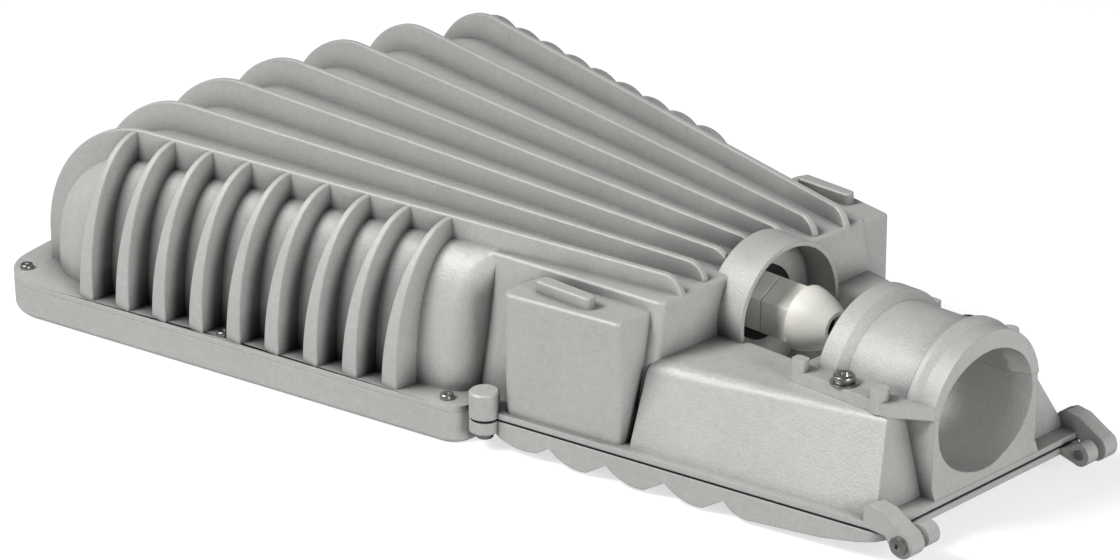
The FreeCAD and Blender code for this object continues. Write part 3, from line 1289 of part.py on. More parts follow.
def gland_locknut():
    start = BULKHEAD_X - SHELL_WALL - LOCKNUT_THICK
    nut = hexagon((start, 0, GLAND_Z), (1, 0, 0), LOCKNUT_FLATS, LOCKNUT_THICK)
    return nut.cut(rod((start - EPS, 0, GLAND_Z), (1, 0, 0), GLAND_THREAD_R, LOCKNUT_THICK + 2 * EPS))


def door_side_view(lift):
    """The door's stepped side view, its underside moved up by lift, as a face."""
    def at(x, z):
        return Vector(x, 0, z + lift)
    far_x, end_x = DOOR_FRONT_X - EPS, DOOR_END_X + EPS
    edges = [Part.makeLine(Vector(far_x, 0, EPS), at(far_x, DOOR_NOTCH_Z)),
             Part.makeLine(at(far_x, DOOR_NOTCH_Z), at(DOOR_NOTCH_X, DOOR_NOTCH_Z))]
    for k in range(DOOR_RIB_COUNT):
        notch = DOOR_NOTCH_X + DOOR_RIB_PITCH * k
        low_z = DOOR_RIB_Z if k else DOOR_FIRST_RIB_Z
        length = DOOR_RIB_LENGTH if k else DOOR_FIRST_RIB_LENGTH
        heel = at(notch + length, low_z)
        belly = at(notch + length / 2, (DOOR_NOTCH_Z + low_z) / 2 - DOOR_RIB_BULGE)
        edges.append(Part.Arc(at(notch, DOOR_NOTCH_Z), belly, heel).toShape())
        edges.append(Part.makeLine(heel, at(notch + DOOR_RIB_PITCH, DOOR_NOTCH_Z)))
    last = DOOR_NOTCH_X + DOOR_RIB_PITCH * DOOR_RIB_COUNT
    belly = at((last + DOOR_HEEL_X) / 2, (DOOR_NOTCH_Z + DOOR_HEEL_Z) / 2 - DOOR_RIB_BULGE)
    edges.append(Part.Arc(at(last, DOOR_NOTCH_Z), belly, at(DOOR_HEEL_X, DOOR_HEEL_Z)).toShape())
    tail = [at(DOOR_HEEL_X, DOOR_HEEL_Z)] + [at(x, z) for x, z in zip((*DOOR_TAIL_X, end_x), DOOR_TAIL_Z)]
    tail += [Vector(end_x, 0, EPS), Vector(far_x, 0, EPS)]
    edges += [Part.makeLine(a, b) for a, b in zip(tail, tail[1:])]
    return Part.Face(Part.Wire(edges))


def stepped_block(lift, inset, top_z):
    wide = door_half_width(DOOR_FRONT_X) + EPS
    side = door_side_view(lift)
    side.translate(Vector(0, -wide, 0))
    block = side.extrude(Vector(0, 2 * wide, 0))
    low = DOOR_RIB_Z - 10
    return block.common(slab(door_wire(inset, low), top_z - low))


def door_lug():
    """The door's hinge lug on the +Y side."""
    width = DOOR_LUG_OUTER_Y - DOOR_LUG_INNER_Y
    eye = rod((HINGE_X, DOOR_LUG_INNER_Y, HINGE_Z), (0, 1, 0), DOOR_LUG_R, width)
    outline = [(DOOR_END_X - DOOR_WALL, -GASKET), (DOOR_END_X, -GASKET),
               (HINGE_X - 1.5, HINGE_Z + DOOR_LUG_R - 0.4), (HINGE_X, HINGE_Z),
               (HINGE_X - 2.5, HINGE_Z - DOOR_LUG_R + 0.6), (DOOR_END_X - DOOR_WALL, DOOR_TAIL_Z[-1] + 0.8)]
    arm = Part.Face(polygon([(x, DOOR_LUG_INNER_Y, z) for x, z in outline]))
    return eye.fuse(arm.extrude(Vector(0, width, 0)))


def door():
    """The service door, a cast tray with a stepped underside, screw ears and hinge lugs."""
    ears = [rod((EAR_X, y, DOOR_EAR_Z), (0, 0, 1), EAR_R, -GASKET - DOOR_EAR_Z)
            for y in (EAR_Y, -EAR_Y)]
    tray = stepped_block(0, 0, -GASKET).cut(stepped_block(DOOR_SKIN, DOOR_WALL, EPS))
    holes = [rod((EAR_X, y, DOOR_EAR_Z - 10), (0, 0, 1), M5.shank_r + SCREW_CLEARANCE, 20)
             for y in (EAR_Y, -EAR_Y)]
    recess = [rod((EAR_X, y, DOOR_EAR_Z - 20), (0, 0, 1), M5.head_r + 1, 20) for y in (EAR_Y, -EAR_Y)]
    holes += [rod((HINGE_X, y, HINGE_Z), (0, 1, 0), HINGE_PIN_R + HINGE_RUN,
                  DOOR_LUG_OUTER_Y - DOOR_LUG_INNER_Y + 2 * EPS)
              for y in (DOOR_LUG_INNER_Y - EPS, -DOOR_LUG_OUTER_Y - EPS)]
    solid = tray.fuse(ears + both_sides(door_lug()))
    return solid.cut(recess + holes).removeSplitter()


def door_gasket():
    """The seal strip on the door's rim, with an eye round each screw."""
    strip = slab(door_wire(SEAL_INSET, -GASKET), GASKET)
    inner = door_wire(SEAL_INSET + SEAL_WIDTH, -GASKET - EPS)
    strip = strip.cut(slab(inner, GASKET + 2 * EPS))
    hole_r, eye_r = SEAL_EYE_R
    places = [(EAR_X, EAR_Y, -GASKET), (EAR_X, -EAR_Y, -GASKET)]
    strip = strip.fuse([rod(place, (0, 0, 1), eye_r, GASKET) for place in places])
    return strip.cut([rod(place, (0, 0, 1), hole_r, GASKET) for place in places]).removeSplitter()


def door_screws():
    places = [(EAR_X, y, DOOR_EAR_Z) for y in (EAR_Y, -EAR_Y)]
    return screws(M5, places, (0, 0, 1), DOOR_SCREW_TIP_Z - DOOR_EAR_Z)


def screw_retainers():
    return group([pipe((EAR_X, y, -GASKET), (0, 0, 1), RETAINER_R, M5.shank_r, RETAINER_THICK)
                  for y in (EAR_Y, -EAR_Y)])


def hinge_pins():
    """Each pin goes through the housing's lug into the door's lug, with a square drive in its head."""
    length = LUG_OUTER_Y - DOOR_LUG_INNER_Y + 1
    start = (HINGE_X, DOOR_LUG_INNER_Y - 1, HINGE_Z)
    pin = rod(start, (0, 1, 0), HINGE_PIN_R, length)
    head = rod((HINGE_X, LUG_OUTER_Y, HINGE_Z), (0, 1, 0), HINGE_HEAD_R, HINGE_HEAD)
    slot = HINGE_SLOT / 2
    drive = box(HINGE_X - slot, HINGE_X + slot, LUG_OUTER_Y + HINGE_HEAD / 2, LUG_OUTER_Y + 5,
                HINGE_Z - slot, HINGE_Z + slot)
    return group(both_sides(pin.fuse(head).cut(drive).removeSplitter()))


def save(name, shape):
    """Moves a finished piece from the drawing's zero to the socket's and writes its file."""
    shape = shape.copy()
    shape.translate(Vector(SOCKET_LEAD, 0, -SOCKET_AXIS_Z))
    shape.exportStep("parts/" + name + ".step")
    print(name, "solids", len(shape.Solids), "valid", shape.isValid(), "volume", round(shape.Volume))


def main():
    os.makedirs("parts", exist_ok=True)
    pieces = [housing, lens_frame, frame_gasket, frame_screws, glass_gasket, glass_pane, glass_clips,
              clip_screws, holder_screws, reflector_mask, mask_screws, led_leads, wall_grommet,
              output_lead, driver, driver_screws, terminal_block, terminal_screws, surge_protector,
              bay_screws, cable_clip, earth_screw, supply_lead, surge_lead, pole_clamp, clamp_bolts,
              clamp_washers, gland_washer, gland_body, gland_dome_nut, gland_seal, gland_locknut, door,
              door_gasket, door_screws, screw_retainers, hinge_pins]
    for piece in pieces:
        save(piece.__name__, piece())
    for number, (x, y) in enumerate(engine_places(), 1):
        save("led_chip_" + str(number), led_chip(x, y))
        save("chip_holder_" + str(number), chip_holder(x, y))
        save("reflector_" + str(number), reflector(x, y))


main()
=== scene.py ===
import logging
import math
from collections.abc import Callable
from dataclasses import dataclass, field
from enum import Enum

import bmesh
import bpy
from mathutils import Matrix, Vector


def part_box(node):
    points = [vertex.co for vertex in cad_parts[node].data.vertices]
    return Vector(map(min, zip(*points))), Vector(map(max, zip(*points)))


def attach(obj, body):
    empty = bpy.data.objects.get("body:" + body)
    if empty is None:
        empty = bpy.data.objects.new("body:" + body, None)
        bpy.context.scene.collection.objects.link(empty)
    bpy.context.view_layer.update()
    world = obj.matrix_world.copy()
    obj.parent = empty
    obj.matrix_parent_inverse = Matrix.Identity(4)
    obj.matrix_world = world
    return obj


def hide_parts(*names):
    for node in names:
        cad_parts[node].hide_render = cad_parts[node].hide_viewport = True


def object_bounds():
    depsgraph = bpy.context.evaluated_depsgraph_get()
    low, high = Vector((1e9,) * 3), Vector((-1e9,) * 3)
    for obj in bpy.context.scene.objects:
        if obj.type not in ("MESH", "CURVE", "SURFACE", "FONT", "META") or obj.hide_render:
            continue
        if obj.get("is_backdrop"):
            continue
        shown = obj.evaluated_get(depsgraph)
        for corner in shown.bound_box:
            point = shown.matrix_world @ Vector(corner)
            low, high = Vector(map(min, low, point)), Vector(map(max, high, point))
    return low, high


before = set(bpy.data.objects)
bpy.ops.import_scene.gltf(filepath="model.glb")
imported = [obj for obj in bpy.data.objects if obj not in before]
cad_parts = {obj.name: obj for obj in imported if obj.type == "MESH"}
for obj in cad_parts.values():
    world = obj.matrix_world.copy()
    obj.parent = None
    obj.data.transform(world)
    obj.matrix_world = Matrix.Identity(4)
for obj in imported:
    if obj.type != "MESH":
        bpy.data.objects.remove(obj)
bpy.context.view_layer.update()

LOG = logging.getLogger("street_light_head")
MM = 0.001
WELD = 1e-6
NOISE_SPAN = (0.3, 0.7)
CAST_SMOOTH_BELOW = 32.0
SCREW_SMOOTH_BELOW = 35.0
Colour = tuple[float, float, float]
Box = tuple[Vector, Vector]


def linear(colour: Colour) -> tuple[float, float, float, float]:
    """Turns a display colour into the linear colour that a shader takes.

    Args:
        colour: red, green and blue as they look on a display, 0 to 1.

    Returns:
        The linear colour with an alpha of 1.
    """
    def channel(value: float) -> float:
        """One channel of the display curve undone."""
        return value / 12.92 if value <= 0.04045 else ((value + 0.055) / 1.055) ** 2.4
    return (channel(colour[0]), channel(colour[1]), channel(colour[2]), 1.0)


class Axis(Enum):
    """The way that a repeated piece's +Z points, with the turn that takes it there."""

    UP = Matrix.Identity(3)
    DOWN = Matrix.Rotation(math.pi, 3, "X")


class ShaderSheet:
    """Adds shader nodes to one new material and links them."""

    GAP_SAMPLES = 6
    EDGE_SAMPLES = 4
    OPEN_SPAN = (0.25, 0.85)

    def __init__(self, name: str) -> None:
        """Starts the material.

        Args:
            name: the material's name.
        """
        self.material = bpy.data.materials.new(name)
        self.material.use_nodes = True
        self.tree = self.material.node_tree
        self.shader = self.tree.nodes["Principled BSDF"]
        self.place = self.add("ShaderNodeTexCoord").outputs["Object"]

    def add(self, kind: str, **inputs: object) -> bpy.types.ShaderNode:
        """Adds one node and fills or links its inputs.

        Args:
            kind: the node's type.
            inputs: values or sockets by input name, with underscores for spaces.

        Returns:
            The node.
        """
        node = self.tree.nodes.new(kind)
        self.fill(node, inputs)
        return node

    def fill(self, node: bpy.types.ShaderNode, inputs: dict[str, object]) -> None:
        """Fills or links a node's inputs.

        Args:
            node: the node.
            inputs: values or sockets by input name, with underscores for spaces.
        """
        for name, value in inputs.items():
            socket = node.inputs[name.replace("_", " ")]
            if isinstance(value, bpy.types.NodeSocket):
                self.tree.links.new(value, socket)
            else:
                socket.default_value = value

    def noise(self, scale: float, detail: float = 3.0, rough: float = 0.55,
              stretch: tuple[float, float, float] | None = None) -> bpy.types.NodeSocket:
        """Cloudy noise on object coordinates.

        Args:
            scale: how many features to a metre.
            detail: octaves of finer noise.
            rough: how strong the finer octaves are.
            stretch: a scale for each axis, where the noise is drawn out.

        Returns:
            The noise's height.
        """
        place = self.place
        if stretch:
            mapping = self.add("ShaderNodeMapping", Vector=place, Scale=stretch)
            place = mapping.outputs["Vector"]
        node = self.add("ShaderNodeTexNoise", Vector=place, Scale=scale, Detail=detail, Roughness=rough)
        return node.outputs["Fac"]

    def pits(self, scale: float) -> bpy.types.NodeSocket:
        """Small cells on object coordinates, for a shot-blasted grain.

        Args:
            scale: how many cells to a metre.

        Returns:
            The distance to the nearest cell's centre.
        """
        return self.add("ShaderNodeTexVoronoi", Vector=self.place, Scale=scale).outputs["Distance"]

    def range(self, value: bpy.types.NodeSocket, low: float, high: float,
              out_low: float, out_high: float) -> bpy.types.NodeSocket:
        """Maps a value from one range to another.

        Args:
            value: the socket to read.
            low: the value that gives out_low.
            high: the value that gives out_high.
            out_low: the result at low.
            out_high: the result at high.

        Returns:
            The mapped value.
        """
        node = self.add("ShaderNodeMapRange", Value=value, From_Min=low, From_Max=high,
                        To_Min=out_low, To_Max=out_high)
        return node.outputs["Result"]

    def blend(self, share: bpy.types.NodeSocket, first: Colour, second: Colour) -> bpy.types.NodeSocket:
        """Mixes two display colours.

        Args:
            share: 0 for the first colour and 1 for the second.
            first: the first colour.
            second: the second colour.

        Returns:
            The mixed colour.
        """
        node = self.tree.nodes.new("ShaderNodeMix")
        node.data_type = "RGBA"
        self.tree.links.new(share, node.inputs["Factor"])
        colours = [socket for socket in node.inputs if socket.type == "RGBA"]
        colours[0].default_value = linear(first)
        colours[1].default_value = linear(second)
        return next(socket for socket in node.outputs if socket.type == "RGBA")

    def sum(self, values: tuple[bpy.types.NodeSocket, ...]) -> bpy.types.NodeSocket:
        """Adds values.

        Args:
            values: the sockets to add.

        Returns:
            Their sum.
        """
        total = values[0]
        for value in values[1:]:
            node = self.tree.nodes.new("ShaderNodeMath")
            self.tree.links.new(total, node.inputs[0])
            self.tree.links.new(value, node.inputs[1])
            total = node.outputs[0]
        return total

    def product(self, first: bpy.types.NodeSocket, second: bpy.types.NodeSocket) -> bpy.types.NodeSocket:
        """Multiplies two colours.

        Args:
            first: the one colour.
            second: the other.

        Returns:
            Their product.
        """
        node = self.tree.nodes.new("ShaderNodeMix")
        node.data_type, node.blend_type = "RGBA", "MULTIPLY"
        node.inputs["Factor"].default_value = 1.0
        colours = [socket for socket in node.inputs if socket.type == "RGBA"]
        self.tree.links.new(first, colours[0])
        self.tree.links.new(second, colours[1])
        return next(socket for socket in node.outputs if socket.type == "RGBA")

    def painted_shade_mask(self, width: float) -> bpy.types.NodeSocket:
        """How open the surface is, from 0 deep in a narrow gap to 1 in the open: the mask of the painted
        shade in gaps.

        Args:
            width: how far apart the walls of a gap may be, in metres.

        Returns:
            The openness.
        """
        # Painted shade mask: ambient occlusion within this object only, standing in for shadow in gaps.
        node = self.add("ShaderNodeAmbientOcclusion", Distance=width)
        node.samples = self.GAP_SAMPLES
        node.only_local = True
        return self.range(node.outputs["AO"], *self.OPEN_SPAN, 0.0, 1.0)

    def relief(self, height: bpy.types.NodeSocket, depth: float,
               under: bpy.types.NodeSocket | None = None) -> bpy.types.NodeSocket:
        """Raises a height map from the surface.

        Args:
            height: the height, 0 to 1.
            depth: how high 1 stands, in metres.
            under: the normal that it starts from.

        Returns:
            The new normal.
        """
        bump = self.add("ShaderNodeBump", Height=height, Distance=depth, Strength=1.0)
        if under is not None:
            self.tree.links.new(under, bump.inputs["Normal"])
        return bump.outputs["Normal"]

    def soft_edges(self, radius: float) -> bpy.types.NodeSocket:
        """A normal that rounds every sharp edge.

        Args:
            radius: the round's radius in metres.

        Returns:
            The normal.
        """
        node = self.add("ShaderNodeBevel", Radius=radius)
        node.samples = self.EDGE_SAMPLES
        return node.outputs["Normal"]

    def finish(self, **inputs: object) -> bpy.types.Material:
        """Fills or links the surface shader's inputs.

        Args:
            inputs: values or sockets by input name, with underscores for spaces.

        Returns:
            The material.
        """
        self.fill(self.shader, inputs)
        return self.material


@dataclass(frozen=True)
class CastMetal:
    """Die cast aluminium with a thin satin coat, a blasted grain and painted shade darkening its narrow
    gaps.
    """

    name: str = "cast_aluminium"
    pale: Colour = (0.765, 0.765, 0.755)
    dark: Colour = (0.685, 0.686, 0.676)
    metal: float = 0.12
    rough_span: tuple[float, float] = (0.45, 0.57)
    cloud_scale: float = 26.0
    mottle_scale: float = 240.0
    grain_scale: float = 900.0
    tone_shares: tuple[float, float, float] = (0.25, 0.3, 0.45)
    grain_depth: float = 0.0002
    edge: float = 0.0009
    # Painted shade: the colour that narrow gaps are darkened towards, standing in for the shadow between
    # the fins.
    painted_shade_colour: Colour = (0.12, 0.12, 0.118)
    painted_shade_width: float = 0.02

    def build(self) -> bpy.types.Material:
        """Builds the material.

        Returns:
            The material, with a cloudy tone, a grain, painted shade in narrow gaps and rounded edges.
        """
        sheet = ShaderSheet(self.name)
        clouds = sheet.noise(self.cloud_scale, 5.0, 0.6)
        mottle = sheet.noise(self.mottle_scale, 3.0, 0.55)
        grain = sheet.noise(self.grain_scale, 2.0, 0.5)
        tone = sheet.sum(tuple(sheet.range(layer, *NOISE_SPAN, 0.0, share)
                               for layer, share in zip((clouds, mottle, grain), self.tone_shares)))
        open_colour = (1.0, 1.0, 1.0)
        # Painted shade: ambient occlusion darkens the base colour in narrow gaps.
        painted_shade = sheet.blend(sheet.painted_shade_mask(self.painted_shade_width), self.painted_shade_colour, open_colour)
        base = sheet.product(sheet.blend(tone, self.dark, self.pale), painted_shade)
        rough = sheet.range(clouds, *NOISE_SPAN, *self.rough_span)
        normal = sheet.relief(grain, self.grain_depth, sheet.soft_edges(self.edge))
        return sheet.finish(Base_Color=base, Metallic=self.metal, Roughness=rough, Normal=normal)


@dataclass(frozen=True)
class BareMetal:
    """Machined or rolled metal with fine drawn lines."""

    name: str
    pale: Colour
    dark: Colour
    rough: float = 0.3
    metal: float = 1.0
    lines: tuple[float, float, float] = (1.0, 1.0, 14.0)
    line_scale: float = 500.0
    line_depth: float = 0.00004
    cloud_scale: float = 90.0
    edge: float = 0.0003
    smoother: float = 0.06
    rougher: float = 0.1

    def build(self) -> bpy.types.Material:
        """Builds the material.

        Returns:
            The material, with drawn lines in its tone and relief.
        """
        sheet = ShaderSheet(self.name)
        streaks = sheet.noise(self.line_scale, 3.0, 0.6, self.lines)
        clouds = sheet.noise(self.cloud_scale, 3.0, 0.5)
        base = sheet.blend(sheet.range(clouds, *NOISE_SPAN, 0.0, 1.0), self.dark, self.pale)
        rough = sheet.range(streaks, *NOISE_SPAN, self.rough - self.smoother, self.rough + self.rougher)
        normal = sheet.relief(streaks, self.line_depth, sheet.soft_edges(self.edge))
        return sheet.finish(Base_Color=base, Metallic=self.metal, Roughness=rough, Normal=normal)


@dataclass(frozen=True)
class Moulded:
    """Moulded plastic or rubber with a faint skin."""

    name: str
    pale: Colour
    dark: Colour
    rough: float = 0.45
    grain_scale: float = 1400.0
    grain_depth: float = 0.00006
    grain_span: tuple[float, float] = (0.0, 0.8)
    cloud_scale: float = 60.0
    cloud_span: tuple[float, float] = (0.35, 0.65)
    edge: float = 0.0004
    smoother: float = 0.04
    rougher: float = 0.08

    def build(self) -> bpy.types.Material:
        """Builds the material.

        Returns:
            The material, with a slight change of tone and a fine grain.
        """
        sheet = ShaderSheet(self.name)
        clouds = sheet.noise(self.cloud_scale, 4.0, 0.55)
        grain = sheet.pits(self.grain_scale)
        base = sheet.blend(sheet.range(clouds, *self.cloud_span, 0.0, 1.0), self.dark, self.pale)
        rough = sheet.range(grain, *self.grain_span, self.rough + self.rougher, self.rough - self.smoother)
        normal = sheet.relief(grain, self.grain_depth, sheet.soft_edges(self.edge))
        return sheet.finish(Base_Color=base, Metallic=0.0, Roughness=rough, Normal=normal)


@dataclass(frozen=True)
class ClearGlass:
    """Toughened float glass, faintly green, with a trace of dust."""

    name: str = "clear_glass"
    tint: Colour = (0.93, 0.97, 0.95)
    dusty: Colour = (0.88, 0.9, 0.88)
    ior: float = 1.5
    clearness: float = 0.95
    dust_scale: float = 40.0
    tint_span: tuple[float, float] = (0.5, 0.9)
    polish_span: tuple[float, float] = (0.45, 0.8)
    rough_span: tuple[float, float] = (0.02, 0.12)

    def build(self) -> bpy.types.Material:
        """Builds the material.

        Returns:
            The material, clear with a slightly uneven polish.
        """
        sheet = ShaderSheet(self.name)
        dust = sheet.noise(self.dust_scale, 5.0, 0.6)
        rough = sheet.range(dust, *self.polish_span, *self.rough_span)
        base = sheet.blend(sheet.range(dust, *self.tint_span, 0.0, 1.0), self.tint, self.dusty)
        return sheet.finish(Base_Color=base, Roughness=rough, IOR=self.ior,
                            Transmission_Weight=self.clearness)


@dataclass(frozen=True)
class Phosphor:
    """The yellow phosphor field of a light chip."""

    name: str = "chip_phosphor"
    pale: Colour = (0.96, 0.84, 0.36)
    dark: Colour = (0.9, 0.74, 0.24)
    rough: float = 0.35
    coat: float = 0.4
    grain_scale: float = 1500.0
    grain_depth: float = 0.00003

    def build(self) -> bpy.types.Material:
        """Builds the material.

        Returns:
            The material, a silicone skin over fine phosphor grains.
        """
        sheet = ShaderSheet(self.name)
        grains = sheet.noise(self.grain_scale, 3.0, 0.6)
        base = sheet.blend(sheet.range(grains, *NOISE_SPAN, 0.0, 1.0), self.dark, self.pale)
        return sheet.finish(Base_Color=base, Roughness=self.rough, Coat_Weight=self.coat,
                            Normal=sheet.relief(grains, self.grain_depth))


class Finishes:
    """Every finish of the lamp head, each built once."""

    def __init__(self) -> None:
        """Builds the materials."""
        self.cast = CastMetal().build()
        self.steel = BareMetal("stainless_steel", (0.66, 0.66, 0.65), (0.52, 0.52, 0.51), 0.34).build()
        self.bright = BareMetal("bright_aluminium", (0.93, 0.93, 0.94), (0.87, 0.88, 0.9), 0.14,
                                line_depth=0.00001).build()
        self.case = BareMetal("driver_case", (0.84, 0.84, 0.83), (0.76, 0.76, 0.75), 0.36, 0.85).build()
        self.brass = BareMetal("brass_plated", (0.83, 0.71, 0.42), (0.74, 0.6, 0.33), 0.3).build()
        self.rubber = Moulded("black_rubber", (0.075, 0.075, 0.078), (0.045, 0.045, 0.047), 0.7).build()
        self.white = Moulded("white_plastic", (0.955, 0.95, 0.92), (0.92, 0.915, 0.88), 0.36).build()
        self.black = Moulded("black_plastic", (0.12, 0.12, 0.125), (0.08, 0.08, 0.085), 0.42).build()
        self.grey = Moulded("grey_plastic", (0.5, 0.51, 0.52), (0.44, 0.45, 0.46), 0.4).build()
        self.sheet = Moulded("white_sheet", (0.92, 0.92, 0.91), (0.88, 0.88, 0.87), 0.4, 800.0).build()
        self.ceramic = Moulded("chip_ceramic", (0.93, 0.92, 0.88), (0.9, 0.89, 0.84), 0.5).build()
        self.sheath = Moulded("lead_sheath", (0.11, 0.11, 0.115), (0.07, 0.07, 0.075), 0.5).build()
        self.glass = ClearGlass().build()
        self.phosphor = Phosphor().build()


def node_names(prefix: str) -> list[str]:
    """The CAD nodes whose names start so, in order.

    Args:
        prefix: the start of the name.

    Returns:
        The names.
    """
    return sorted(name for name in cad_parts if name.startswith(prefix))


def dress(material: bpy.types.Material, *names: str) -> None:
    """Gives CAD nodes a material.

    Args:
        material: the material.
        names: the nodes.
    """
    for name in names:
        mesh_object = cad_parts[name]
        if not mesh_object.material_slots:
            mesh_object.data.materials.append(material)
        mesh_object.material_slots[0].link = "OBJECT"
        mesh_object.material_slots[0].material = material


def islands(node: str) -> list[Box]:
    """The box of each separate solid of a CAD node.

    Args:
        node: the node's name.

    Returns:
        The lowest and highest corners of each solid, in metres, in order of x, then y.
    """
    work = bmesh.new()
    work.from_mesh(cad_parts[node].data)
    bmesh.ops.remove_doubles(work, verts=work.verts, dist=WELD)
    found: list[Box] = []
    seen: set[int] = set()
    work.verts.index_update()
    for start in work.verts:
        if start.index in seen:
            continue
        seen.add(start.index)
        queue, corners = [start], []
        while queue:
            vertex = queue.pop()
            corners.append(vertex.co.copy())
            for edge in vertex.link_edges:
                other = edge.other_vert(vertex)
                if other.index not in seen:
                    seen.add(other.index)
                    queue.append(other)
        low = Vector([min(corner[i] for corner in corners) for i in range(3)])
        high = Vector([max(corner[i] for corner in corners) for i in range(3)])
        found.append((low, high))
    work.free()
    return sorted(found, key=lambda box: (round(box[0].x, 4), round(box[0].y, 4)))


def mesh_piece(name: str, work: bmesh.types.BMesh, material: bpy.types.Material,
               smooth_below: float = SCREW_SMOOTH_BELOW) -> bpy.types.Object:
    """Makes an object from mesh work, smooth apart from its sharp edges.

    Args:
        name: the piece's name.
        work: the mesh work, which is freed.
        material: the piece's material.
        smooth_below: the angle in degrees past which an edge stays sharp.

    Returns:
        The object, linked to the scene.
    """
    limit = math.radians(smooth_below)
    for face in work.faces:
        face.smooth = True
    for edge in work.edges:
        edge.smooth = len(edge.link_faces) == 2 and edge.calc_face_angle(0.0) < limit
    mesh = bpy.data.meshes.new(name)
    work.to_mesh(mesh)
    work.free()
    mesh.materials.append(material)
    piece = bpy.data.objects.new(name, mesh)
    bpy.context.scene.collection.objects.link(piece)
    return piece


def cast_copy(node: str, material: bpy.types.Material, body: str,
              reshape: Callable[[bmesh.types.BMesh], None] | None = None) -> None:
    """Stands a merged and smoothed copy of a CAD node in its place.

    Args:
        node: the CAD node.
        material: the copy's material.
        body: the body it rides on.
        reshape: a change of the copy's form, where it has one.
    """
    work = bmesh.new()
    work.from_mesh(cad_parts[node].data)
    bmesh.ops.remove_doubles(work, verts=work.verts, dist=2 * WELD)
    bmesh.ops.dissolve_degenerate(work, edges=work.edges, dist=WELD)
    if reshape:
        reshape(work)
    piece = mesh_piece(node + "_surface", work, material, CAST_SMOOTH_BELOW)
    weighting = piece.modifiers.new("even_shading", "WEIGHTED_NORMAL")
    weighting.keep_sharp = True
    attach(piece, body)
    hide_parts(node)


def ring_stack(work: bmesh.types.BMesh, rings: list[tuple[float, float, float]], sides: int = 24) -> None:
    """Adds a closed turned shape, whose rings may be hexagons.

    Args:
        work: the mesh work to add to.
        rings: for each ring its radius, its height and 1 for a hexagon or 0 for a circle.
        sides: points on each ring, a multiple of 6.
    """
    rows: list[list[bmesh.types.BMVert]] = []
    for radius, height, flat in rings:
        row = []
        for k in range(sides):
            angle = 2 * math.pi * k / sides
            fold = math.cos((angle + math.pi / 6) % (math.pi / 3) - math.pi / 6)
            reach = radius / fold if flat else radius
            row.append(work.verts.new((reach * math.cos(angle), reach * math.sin(angle), height)))
        rows.append(row)
    for low, high in zip(rows, rows[1:]):
        for k in range(sides):
            work.faces.new((low[k], low[(k + 1) % sides], high[(k + 1) % sides], high[k]))
    work.faces.new(list(reversed(rows[0])))
    work.faces.new(rows[-1])


class GeometryTree:
    """A Geometry Nodes tree with named inputs that makes plain mesh pieces."""

    def __init__(self, name: str, **inputs: str) -> None:
        """Starts the tree and gives it its inputs.

        Args:
            name: the tree's name.
            inputs: the kind of each input by its name, with underscores for spaces.
        """
        self.tree = bpy.data.node_groups.new(name, "GeometryNodeTree")
        self.link = self.tree.links.new
        self.inputs: dict[str, str] = {}
        self.tree.interface.new_socket("Geometry", in_out="OUTPUT", socket_type="NodeSocketGeometry")
        for label, kind in inputs.items():
            socket = self.tree.interface.new_socket(label.replace("_", " "), in_out="INPUT",
                                                    socket_type="NodeSocket" + kind)
            self.inputs[label] = socket.identifier
        self.start = self.add("NodeGroupInput").outputs

    def add(self, kind: str) -> bpy.types.Node:
        """Adds one node.

        Args:
            kind: the node's type.

        Returns:
            The node.
        """
        return self.tree.nodes.new(kind)

    def close(self, geometry: bpy.types.NodeSocket) -> None:
        """Paints the result with the Finish input and ends the tree.

        Args:
            geometry: the result.
        """
        paint = self.add("GeometryNodeSetMaterial")
        self.link(geometry, paint.inputs["Geometry"])
        self.link(self.start["Finish"], paint.inputs["Material"])
        self.link(paint.outputs["Geometry"], self.add("NodeGroupOutput").inputs["Geometry"])

    def run(self, name: str, mesh: bpy.types.Mesh, **values: object) -> bpy.types.Object:
        """Runs the tree on a mesh and keeps the result as a plain mesh.

        Args:
            name: the new piece's name.
            mesh: the mesh that goes in.
            values: the inputs by name, with underscores for spaces.

        Returns:
            The piece.
        """
        carrier = bpy.data.objects.new(name + "_carrier", mesh)
        bpy.context.scene.collection.objects.link(carrier)
        modifier = carrier.modifiers.new("tree", "NODES")
        modifier.node_group = self.tree
        for label, value in values.items():
            modifier[self.inputs[label]] = value
        depsgraph = bpy.context.evaluated_depsgraph_get()
        result = bpy.data.meshes.new_from_object(carrier.evaluated_get(depsgraph))
        result.name = name
        carrier.modifiers.clear()
        bpy.data.objects.remove(carrier, do_unlink=True)
        piece = bpy.data.objects.new(name, result)
        bpy.context.scene.collection.objects.link(piece)
        return piece


